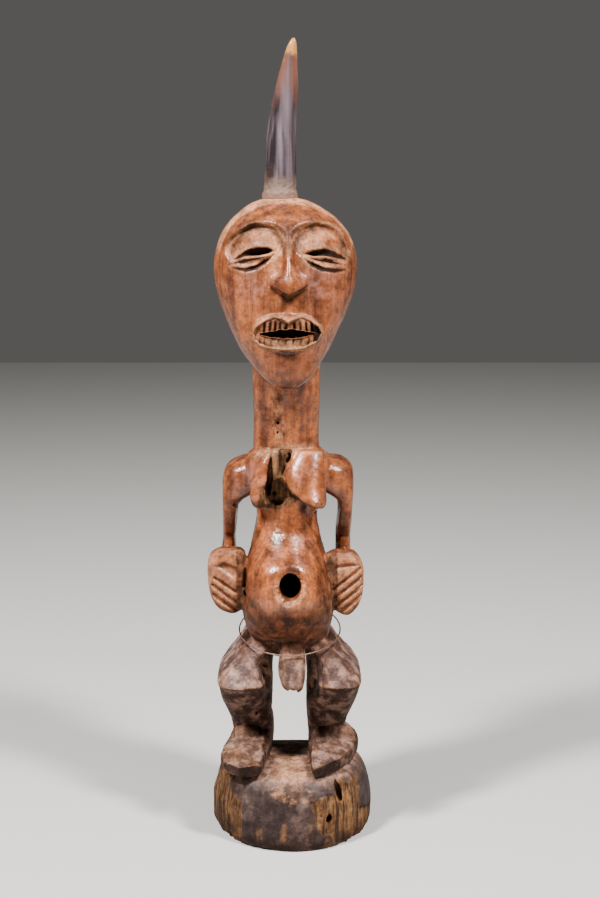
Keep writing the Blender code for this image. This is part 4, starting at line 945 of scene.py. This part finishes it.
# Painted shade and some grime: where the wood faces down or was seldom handled, under overhangs, and in its
# cuts and holes.
def shadeLayer():
    onBelly = (z > 182.0) * (z < 262.0) * (besideMiddle < 42.0)
    betweenLegs = (1.0 - easeStep(np.abs(x + 3.0), 12.0, 22.0)) * (z > 64.0) * (z < 168.0)
    # On the face: painted shadow under the brows and the nose, painted shade between the teeth, in the mouth
    # and low on the chin; darker over the whole face, on the lid tops, the forehead top, the nose root and the
    # right side.
    face = (0.14 + 0.30 * lidTops + 0.55 * underBrow + 0.9 * paintedNoseShadow + toothGaps()
            + 0.35 * easeStep(z, 500.0, 512.0) * (1.0 - outsideFace) * (1.0 - sockets)
            + 0.6 * blot(-2.4, 502.0, 5.0, 10.0) + 0.28 * (1.0 - easeStep(z, 392.0, 420.0))
            + 0.25 * easeStep(inMouth, 0.6, 1.6)
            + 0.35 * easeStep(x, 20.0, 50.0) * (z > 384.0) * (z < 500.0))
    shade = sum([
        # Painted shade on wood that faces down, partly grime.
        0.55 * downward * (z < 381.0) + 0.30 * downward,
        # Painted shade on the shins, under the knees.
        1.25 * (1.0 - upward) * hump(z, 106.0, 34.0) * (z > 62.0) * (z < 132.0),
        0.50 * easeStep(z, 58.0, 64.0) * (1.0 - easeStep(z, 88.0, 96.0)),
        0.9 * toeLip * (np.abs(x) > 12.0),
        0.25 * easeStep(x, 4.0, 14.0) * (z > 126.0) * (z < 168.0),
        # Painted shadow under the breasts.
        (blot(13.0, 279.0, 11.0, 4.4) + blot(-26.0, 279.0, 6.0, 3.0)) * (y < -18.0),
        # Painted shade low on the belly, which faces down, with some patina.
        0.85 * hump(z, 178.0, 22.0) * easeStep(-y, 10.0, 30.0) * (np.abs(x + 5.0) < 44.0) * (z > 162.0),
        # Painted shade towards the sides of the belly.
        0.85 * easeStep(besideMiddle, 18.0, 36.0) * onBelly,
        0.42 * easeStep(besideMiddle, 40.0, 46.0) * (z > 240.0) * (z < 322.0),
        0.32 * (z > 330.0) * (z < 384.0),
        onFace * face,
        0.35 * neckRot * easeStep(-neckFlecks, 0.0, 0.25),
        # Darker rot on the chest, and painted shade in its hollows.
        0.35 * chest + 0.6 * chest * hollow,
        # Painted shadow above the bore.
        0.65 * hump(boreAway, 1.18, 0.20) * easeStep(z - boreZ, 4.0, 12.0) * (y < -40.0) * (z < 240.0),
        0.60 * (1.0 - easeStep(z, 2.0, 30.0)) + 0.2 * (z < 50.0),
        # Painted shade on the base's left side, turned from the light.
        0.35 * easeStep(-turn, 0.55, 0.80) * (z < 58.0),
        # Painted shade between the legs.
        0.9 * betweenLegs * easeStep(y, -24.0, -12.0),
    ])
    # Painted shade inside the bore, behind the teeth and in the eye cuts, darkest of all.
    inBore = easeStep(1.32 - boreAway, 0.0, 0.25) * easeStep(y, -53.0, -42.0)
    inBore *= (z > 204.0) * (z < 240.0) * (y < 0.0)
    behindTeeth = easeStep(y, -50.4, -48.6) * (inMouth > 0.5)
    dark = np.maximum(inBore, onFace * np.maximum(slits, behindTeeth))
    return np.maximum(np.clip(shade + 0.30 * patch, 0.0, 0.90), 1.5 * dark)


# A mauve bloom where the wood was oiled most; on the chest and upper belly partly a painted highlight.
def mauveLayer():
    mauve = onFace * (0.55 * blot(-34.0, 462.0, 18.0, 16.0) + 0.6 * blot(24.0, 466.0, 14.0, 14.0))
    # The two tall narrow blots on the upper belly are painted highlight streaks.
    mauve += front * (0.25 * blot(2.0, 318.0, 10.0, 8.0) + 0.5 * blot(-34.0, 306.0, 14.0, 16.0)
                      + 0.30 * blot(-18.0, 270.0, 6.0, 16.0) + 0.2 * blot(8.0, 264.0, 7.0, 16.0))
    return np.clip(mauve + 0.25 * patch * (z > 150.0), 0.0, 1.0)


chest = chestLayer()
bare = bareLayer()
toeLip = easeStep(-normals[:, 1], 0.55, 0.85) * (z > 58.0) * (z < 72.0) * (y < -12.0)
blackSkin = (1.0 - easeStep(z + 3.0 * patch, 52.0, 62.0)) * (1.0 - bare) * 0.95
surfaceLayers = {
    "dust": dustLayer(),
    "bare": bare,
    "dull": 1.0 - easeStep(z + 6.0 * patch, 150.0, 186.0),       # the grey-brown of the legs and base
    "black": np.maximum(blackSkin, toeLip * (np.abs(x) > 12.0)),  # the base's skin, the toes' lips
    "wear": edgeWear,
    # painted shade, with some grime, and the dark of the holes
    "shade": shadeLayer(),
    "mauve": mauveLayer(),
}
for name, values in surfaceLayers.items():
    layer = wood.attributes.new(name, "FLOAT", "POINT")
    layer.data.foreach_set("value", np.asarray(values, np.float32))
print("surface layers written")


# Hardwood, adzed and scraped, then oiled by long handling: a warm red-brown that is glossy where
# hands and oil have been, chalky where dust has settled, grey-purple on the legs, and open fibre
# where the skin has rotted away.
# The deep brown darkens the fibre lines and is also the colour of the painted shade and grime.
woodLook = {
    "honey": "#a75c33", "russet": "#6c3a24", "mauve": "#94655a", "deep": "#25140c",
    "dust": "#b27e5c", "legs": "#624740", "legsLight": "#927368", "skin": "#3a2f2d",
    "bareLight": "#8c6240", "bareDark": "#46301f", "pore": "#170e09",
    "fibreMm": 1.2, "fibreLongMm": 22.0, "poreMm": 1.3, "mottleMm": 4.5, "stainMm": 14.0, "toolMm": 1.5,
}


def oiledHardwood():
    look = woodLook
    recipe = [
        ("upright", "stretch", "object", (1.0, 1.0, look["fibreMm"] / look["fibreLongMm"])),
        ("level", "stretch", "object", (0.12, 0.12, 1.0)),
        ("fibre", "noise", "upright", 500.0 / look["fibreMm"], 4.0, 0.6),
        ("streak", "noise", "upright", 100.0, 3.0, 0.6),
        ("stain", "noise", "object", 500.0 / look["stainMm"], 5.0, 0.6),
        ("mottle", "noise", "object", 500.0 / look["mottleMm"], 4.0, 0.6),
        ("speck", "noise", "object", 500.0 / look["poreMm"], 3.0, 0.7),
        ("tool", "noise", "level", 500.0 / look["toolMm"], 2.0, 0.6),
        # Handled wood, from russet to honey along the grain, worn lighter, bloomed mauve with painted
        # highlight in places, dark in the fibre.
        ("share", "step", "streak", 0.34, 0.62),
        ("handled", "over", "russet", "honey", "share"),
        ("share", "times", "wearHere", 0.5),
        ("handled", "over", "handled", "honey", "share"),
        ("bloom", "step", "mottle", 0.30, 0.62),
        ("share", "times", "mauveHere", "bloom"),
        ("handled", "over", "handled", "mauve", "share"),
        ("lines", "step", "fibre", 0.52, 0.74),
        ("share", "times", "lines", 0.6),
        ("handled", "over", "handled", "deep", "share"),
        # The dull legs and feet, their edges rubbed to a dusty tan.
        ("share", "step", "mottle", 0.42, 0.66),
        ("dulled", "over", "legs", "legsLight", "share"),
        ("share", "times", "wearHere", 0.6),
        ("dulled", "over", "dulled", "dust", "share"),
        ("colour", "over", "handled", "dulled", "dullHere"),
        # The black skin of the base, stained grey in clouds.
        ("clouds", "step", "stain", 0.52, 0.70),
        ("share", "times", "clouds", 0.35),
        ("blackened", "over", "skin", "legsLight", "share"),
        ("colour", "over", "colour", "blackened", "blackHere"),
        # Bare, rotten wood with open lines along the grain.
        ("share", "step", "fibre", 0.36, 0.62),
        ("rotten", "over", "bareDark", "bareLight", "share"),
        ("lines", "step", "streak", 0.54, 0.68),
        ("share", "times", "lines", 0.65),
        ("rotten", "over", "rotten", "pore", "share"),
        ("colour", "over", "colour", "rotten", "bareHere"),
        # Dust, then grime and painted shade, then pores, and unevenness over all.
        ("caught", "step", "speck", 0.28, 0.56, 0.35, 1.0),
        ("share", "times", "dustHere", "caught"),
        ("colour", "over", "colour", "dust", "share"),
        ("thinned", "step", "mottle", 0.30, 0.66, 1.0, 0.72),
        ("share", "times", "shadeHere", "thinned"),
        ("colour", "over", "colour", "deep", "share"),
        ("pits", "step", "speck", 0.60, 0.74),
        ("share", "times", "pits", 0.55),
        ("colour", "over", "colour", "pore", "share"),
        ("patches", "step", "mottle", 0.34, 0.66, 0.66, 1.26),
        ("dots", "step", "speck", 0.30, 0.70, 0.72, 1.22),
        ("uneven", "scaled", "patches", "dots"),
        ("colour", "tinted", "colour", "uneven", 1.0),
        # Matt where it is dusty, bare, dull, grimy or painted in shade, glossy elsewhere.
        ("half", "times", "dullHere", 0.6),
        ("open", "plus", "bareHere", "half"),
        ("chalky", "plus", "dustHere", "open"),
        ("half", "times", "shadeHere", 0.6),
        ("covered", "plus", "chalky", "half"),
        ("shine", "step", "covered", 0.0, 1.0, 0.20, 0.72),
        ("grit", "timesPlus", "mottle", 0.30, -0.15),
        ("matt", "plus", "shine", "grit"),
        ("covered", "plus", "chalky", "shadeHere"),
        ("gleam", "step", "covered", 0.0, 1.0, 0.55, 0.10),
        # Pores and fibre to the touch, deeper where the wood is bare, and the scraper's level lines.
        ("relief", "timesPlus", "fibre", -0.5, "speck"),
        ("relief", "timesPlus", "fibre", "bareHere", "relief"),
        ("relief", "timesPlus", "tool", 0.5, "relief"),
        ("strong", "step", "chalky", 0.0, 0.5, 0.24, 0.50),
        ("normal", "bump", "relief", "strong", 0.0011),
    ]
    return makeMaterial("oiledHardwood", look, surfaceLayers, recipe, {
        "Base Color": "colour", "Roughness": "matt", "Normal": "normal",
        "IOR": 1.5, "Specular IOR Level": "gleam"})


# Puts a mesh that was made in table millimetres where the solids are, in metres.
def settle(mesh, material, smooth=True):
    putPoints(mesh, meshPoints(mesh) * unit)
    mesh.materials.clear()
    mesh.materials.append(material)
    mesh.polygons.foreach_set("use_smooth", [smooth] * len(mesh.polygons))


settle(wood, oiledHardwood())
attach(figure, "root")
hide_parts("figure")
print("figure dressed")

# The horn: shares of its radius and sizes in mm.
_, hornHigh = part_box("horn")
hornSizes = {
    "sides": 96, "step": 0.9,
    "slimmer": -0.020, "keelHeight": 0.035, "ridgeHeight": 0.015, "valleyDepth": 0.035, "rippleMm": 0.02,
}
# Rows: height, middle x, middle y, radius.
hornRows = [
    (529.6, -10.1, 6.6, 13.6), (533.0, -10.1, 6.6, 15.2), (536.4, -10.1, 6.6, 15.2), (540.5, -10.1, 6.8, 13.9),
    (553.0, -9.7, 7.2, 13.4), (566.0, -9.2, 7.8, 13.1), (578.0, -9.1, 8.2, 12.9), (591.0, -8.3, 8.4, 12.2),
    (604.0, -6.9, 8.2, 11.3), (616.6, -4.9, 7.6, 10.0), (629.0, -3.5, 6.6, 8.5), (642.0, -1.9, 5.2, 6.2),
    (653.0, -0.3, 3.8, 4.1), (658.0, 0.7, 3.2, 2.4), (660.0, 1.1, 3.0, 1.0)]


def hornSkin():
    foot, tip = hornRows[0][0], hornRows[-1][0]
    levels = np.linspace(foot, tip, round((tip - foot) / hornSizes["step"]))
    cx, cy, radius = [c[:, None] for c in sizesAt(hornRows, levels).T]
    turn = (2.0 * math.pi * np.arange(hornSizes["sides"]) / hornSizes["sides"])[None, :]
    z = levels[:, None]
    up = (z - 536.0) / 124.0
    keelTurn = math.radians(196.0) + math.radians(96.0) * np.clip(up, 0.0, 1.0) ** 0.8
    softTurn = keelTurn - math.radians(46.0)

    def beside(centre, width):
        gap = (turn - centre + math.pi) % (2.0 * math.pi) - math.pi
        return np.exp(-(gap / width) ** 2)

    held = easeStep(z, 537.0, 545.0)
    shape = (hornSizes["slimmer"] + hornSizes["keelHeight"] * beside(keelTurn, 0.26)
             + hornSizes["ridgeHeight"] * beside(softTurn, 0.36)
             - hornSizes["valleyDepth"] * beside(keelTurn - 0.42, 0.22))
    reach = radius * (1.0 + shape * held - 0.03 * (1.0 - held))
    ripple = hornSizes["rippleMm"] * np.sin(z * 1.15 + 0.6 * np.sin(turn * 2.0))
    ripple = ripple * (1.0 - easeStep(z, 575.0, 610.0))
    flat = np.stack([np.broadcast_to(turn, reach.shape).ravel() * 12.0, np.zeros(reach.size),
                     np.broadcast_to(z, reach.shape).ravel()], axis=1)
    crust = rough(flat, (2.4, 1.0, 2.0), 91, 3).reshape(reach.shape)
    crusted = easeStep(z, 533.0, 536.0) * (1.0 - easeStep(z, 540.0, 552.0))
    grown = ripple + (0.7 * crust - 0.35) * crusted
    reach = reach + grown * easeStep(z, 531.0, 534.0) * (radius > 2.0)
    thing = closedSkin("hornBody", np.stack([cx + reach * np.cos(turn), cy + reach * np.sin(turn),
                                             np.broadcast_to(z, reach.shape)], axis=2))
    layer = thing.data.attributes.new("side", "FLOAT", "POINT")
    side = np.broadcast_to(np.abs(np.cos(turn)), reach.shape)
    layer.data.foreach_set("value", side.astype(np.float32).ravel())
    return thing


# Polished horn: keratin, dark with a violet-grey sheen, redder where it thins and clear amber at
# its tip, its foot dulled by old crust.
hornLook = {"dark": "#261f21", "sheen": "#73646a", "red": "#74493a", "amber": "#b97f45", "crust": "#735444",
            "streakMm": 2.6, "cloudMm": 5.5}


def polishedHorn():
    look = hornLook
    tip = hornHigh.z
    recipe = [
        ("height", "height", "object"),
        ("upright", "stretch", "object", (1.0, 1.0, 0.05)),
        ("streak", "noise", "upright", 500.0 / look["streakMm"], 3.0, 0.5),
        ("cloud", "noise", "object", 500.0 / look["cloudMm"], 4.0, 0.6),
        ("wander", "timesPlus", "cloud", 0.030, "height"),
        ("share", "step", "streak", 0.36, 0.80),
        ("colour", "over", "dark", "sheen", "share"),
        # Red towards the tip, most at the sides, where light comes through.
        ("nearTip", "step", "wander", tip - 0.044, tip - 0.012),
        ("thin", "slope", "sideHere", 0.15, 0.75, 0.35, 1.0),
        ("share", "scaled", "nearTip", "thin"),
        ("colour", "over", "colour", "red", "share"),
        ("share", "step", "wander", tip - 0.004, tip + 0.006),
        ("colour", "over", "colour", "amber", "share"),
        ("foot", "step", "wander", 0.548, 0.574, 1.0, 0.0),
        ("colour", "over", "colour", "crust", "foot"),
        ("matt", "slope", "foot", 0.0, 1.0, 0.17, 0.85),
        ("normal", "bump", "streak", 0.06, 0.0005),
    ]
    return makeMaterial("polishedHorn", look, ["side"], recipe, {
        "Base Color": "colour", "Roughness": "matt", "Normal": "normal",
        "IOR": 1.54, "Specular IOR Level": 0.7})


horn = hornSkin()
settle(horn.data, polishedHorn())
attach(horn, "root")
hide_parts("horn")
print("horn triangles:", len(horn.data.polygons) * 2)

# The wire around the hips, in metres.
wireLow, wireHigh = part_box("waist_wire")
wireSizes = {"radius": 0.00062, "kink": 0.0005, "kinkEvery": 0.011, "sides": 10, "seed": 4, "points": 260}


# A tree that turns a path into wire: kinks it a little, gives it a round section and its material.
def wireTree():
    tree = bpy.data.node_groups.new("wireOnPath", "GeometryNodeTree")
    for name, kind in (("Path", "Geometry"), ("Radius", "Float"), ("Kink", "Float"), ("Kinks Every", "Float"),
                       ("Sides", "Int"), ("Seed", "Int"), ("Material", "Material")):
        tree.interface.new_socket(name, in_out="INPUT", socket_type="NodeSocket" + kind)
    tree.interface.new_socket("Wire", in_out="OUTPUT", socket_type="NodeSocketGeometry")
    given = addNode(tree, "NodeGroupInput").outputs
    place = addNode(tree, "GeometryNodeInputPosition", out=0)
    often = addNode(tree, "ShaderNodeMath", {"operation": "DIVIDE"}, {0: 1.0, 1: given["Kinks Every"]}, 0)
    wander = addNode(tree, "ShaderNodeTexNoise", {"noise_dimensions": "4D"},
                     {"Vector": place, "W": given["Seed"], "Scale": often, "Detail": 2.0}, "Color")
    middle = addNode(tree, "ShaderNodeVectorMath", {"operation": "SUBTRACT"},
                     {0: wander, 1: (0.5, 0.5, 0.5)}, 0)
    shift = addNode(tree, "ShaderNodeVectorMath", {"operation": "SCALE"},
                    {0: middle, "Scale": given["Kink"]}, 0)
    moved = addNode(tree, "GeometryNodeSetPosition", {}, {"Geometry": given["Path"], "Offset": shift}, 0)
    curve = addNode(tree, "GeometryNodeMeshToCurve", {}, {"Mesh": moved}, 0)
    section = addNode(tree, "GeometryNodeCurvePrimitiveCircle", {},
                      {"Resolution": given["Sides"], "Radius": given["Radius"]}, 0)
    tube = addNode(tree, "GeometryNodeCurveToMesh", {}, {"Curve": curve, "Profile Curve": section}, 0)
    whole = addNode(tree, "GeometryNodeRealizeInstances", {}, {"Geometry": tube}, 0)
    dressed = addNode(tree, "GeometryNodeSetMaterial", {},
                      {"Geometry": whole, "Material": given["Material"]}, 0)
    addNode(tree, "NodeGroupOutput", {}, {"Wire": dressed})
    return tree


# Hand-drawn iron wire with a thin brown rust: a soft dark glint, no bright edge.
wireLook = {"iron": "#79675c", "rust": "#6f5340", "rustMm": 1.5}


def rustedIron():
    recipe = [
        ("spots", "noise", "object", 500.0 / wireLook["rustMm"], 4.0, 0.65),
        ("cover", "step", "spots", 0.42, 0.60),
        ("colour", "over", "iron", "rust", "cover"),
        ("metal", "slope", "cover", 0.0, 1.0, 0.7, 0.15),
        ("matt", "slope", "cover", 0.0, 1.0, 0.42, 0.72),
        ("normal", "bump", "spots", 0.3, 0.0002),
    ]
    return makeMaterial("rustedIron", wireLook, [], recipe, {
        "Base Color": "colour", "Metallic": "metal", "Roughness": "matt", "Normal": "normal"})


def hipWire():
    middle = (wireLow + wireHigh) / 2.0
    spare = wireSizes["radius"] + wireSizes["kink"] / 2.0
    half = (wireHigh - wireLow) / 2.0 - Vector((spare, spare, spare))
    path = []
    for i in range(wireSizes["points"]):
        turn = 2.0 * math.pi * i / wireSizes["points"]
        path.append((middle.x + half.x * math.cos(turn), middle.y + half.y * math.sin(turn),
                     middle.z + half.z * math.sin(turn)))
    mesh = bpy.data.meshes.new("hipWirePath")
    mesh.from_pydata(path, [(i, (i + 1) % len(path)) for i in range(len(path))], [])
    thing = bpy.data.objects.new("hipWire", mesh)
    bpy.context.scene.collection.objects.link(thing)
    tree = wireTree()
    change = thing.modifiers.new("wire", "NODES")
    change.node_group = tree
    wanted = {"Radius": wireSizes["radius"], "Kink": wireSizes["kink"], "Kinks Every": wireSizes["kinkEvery"],
              "Sides": wireSizes["sides"], "Seed": wireSizes["seed"], "Material": rustedIron()}
    for socket in tree.interface.items_tree:
        if socket.in_out == "INPUT" and socket.name in wanted:
            change[socket.identifier] = wanted[socket.name]
    made = evaluated(thing)
    thing.modifiers.clear()
    thing.data = made
    made.polygons.foreach_set("use_smooth", [True] * len(made.polygons))
    return thing


wire = hipWire()
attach(wire, "root")
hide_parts("waist_wire")
print("wire triangles:", len(wire.data.polygons) * 2)

# Floor, light and camera.
studio = {
    "floor": "#cbc8c3", "world": "#c9c7c4", "worldStrength": 0.17,
    "lightWide": 0.20, "lightTall": 0.44, "lightAim": (0.0, 0.0, 0.34),
    "cameraAt": (0.0063, -1.2354, 0.5221), "cameraAim": (0.0063, 0.0065, 0.3254),
}


def plainFloor():
    mesh = bpy.data.meshes.new("studioFloor")
    corners = [(-4.0, -4.0, 0.0), (4.0, -4.0, 0.0), (4.0, 4.0, 0.0), (-4.0, 4.0, 0.0)]
    mesh.from_pydata(corners, [], [(0, 1, 2, 3)])
    floor = bpy.data.objects.new("studioFloor", mesh)
    bpy.context.scene.collection.objects.link(floor)
    surface = {"Base Color": "floor", "Roughness": 0.8}
    mesh.materials.append(makeMaterial("paleFloor", studio, [], [], surface))


def softLight(name, place, power):
    lamp = bpy.data.lights.new(name, "AREA")
    lamp.shape = "RECTANGLE"
    lamp.size, lamp.size_y = studio["lightWide"], studio["lightTall"]
    lamp.energy = power
    thing = bpy.data.objects.new(name, lamp)
    thing.location = place
    thing.rotation_euler = (Vector(studio["lightAim"]) - Vector(place)).to_track_quat("-Z", "Y").to_euler()
    bpy.context.scene.collection.objects.link(thing)


plainFloor()
softLight("softLeft", (-0.86, -0.72, 1.76), 78.0)
softLight("softRight", (0.82, -0.72, 1.76), 66.0)
world = bpy.data.worlds.new("paleStudio")
world.use_nodes = True
sky = world.node_tree.nodes["Background"].inputs
sky["Color"].default_value = tone(studio["world"])
sky["Strength"].default_value = studio["worldStrength"]
bpy.context.scene.world = world

camera = bpy.data.objects.new("camera", bpy.data.cameras.new("camera"))
camera.data.lens = 60.0
camera.data.sensor_width = 36.0
camera.location = studio["cameraAt"]
gaze = Vector(studio["cameraAim"]) - Vector(studio["cameraAt"])
camera.rotation_euler = gaze.to_track_quat("-Z", "Y").to_euler()
bpy.context.scene.collection.objects.link(camera)
bpy.context.scene.camera = camera
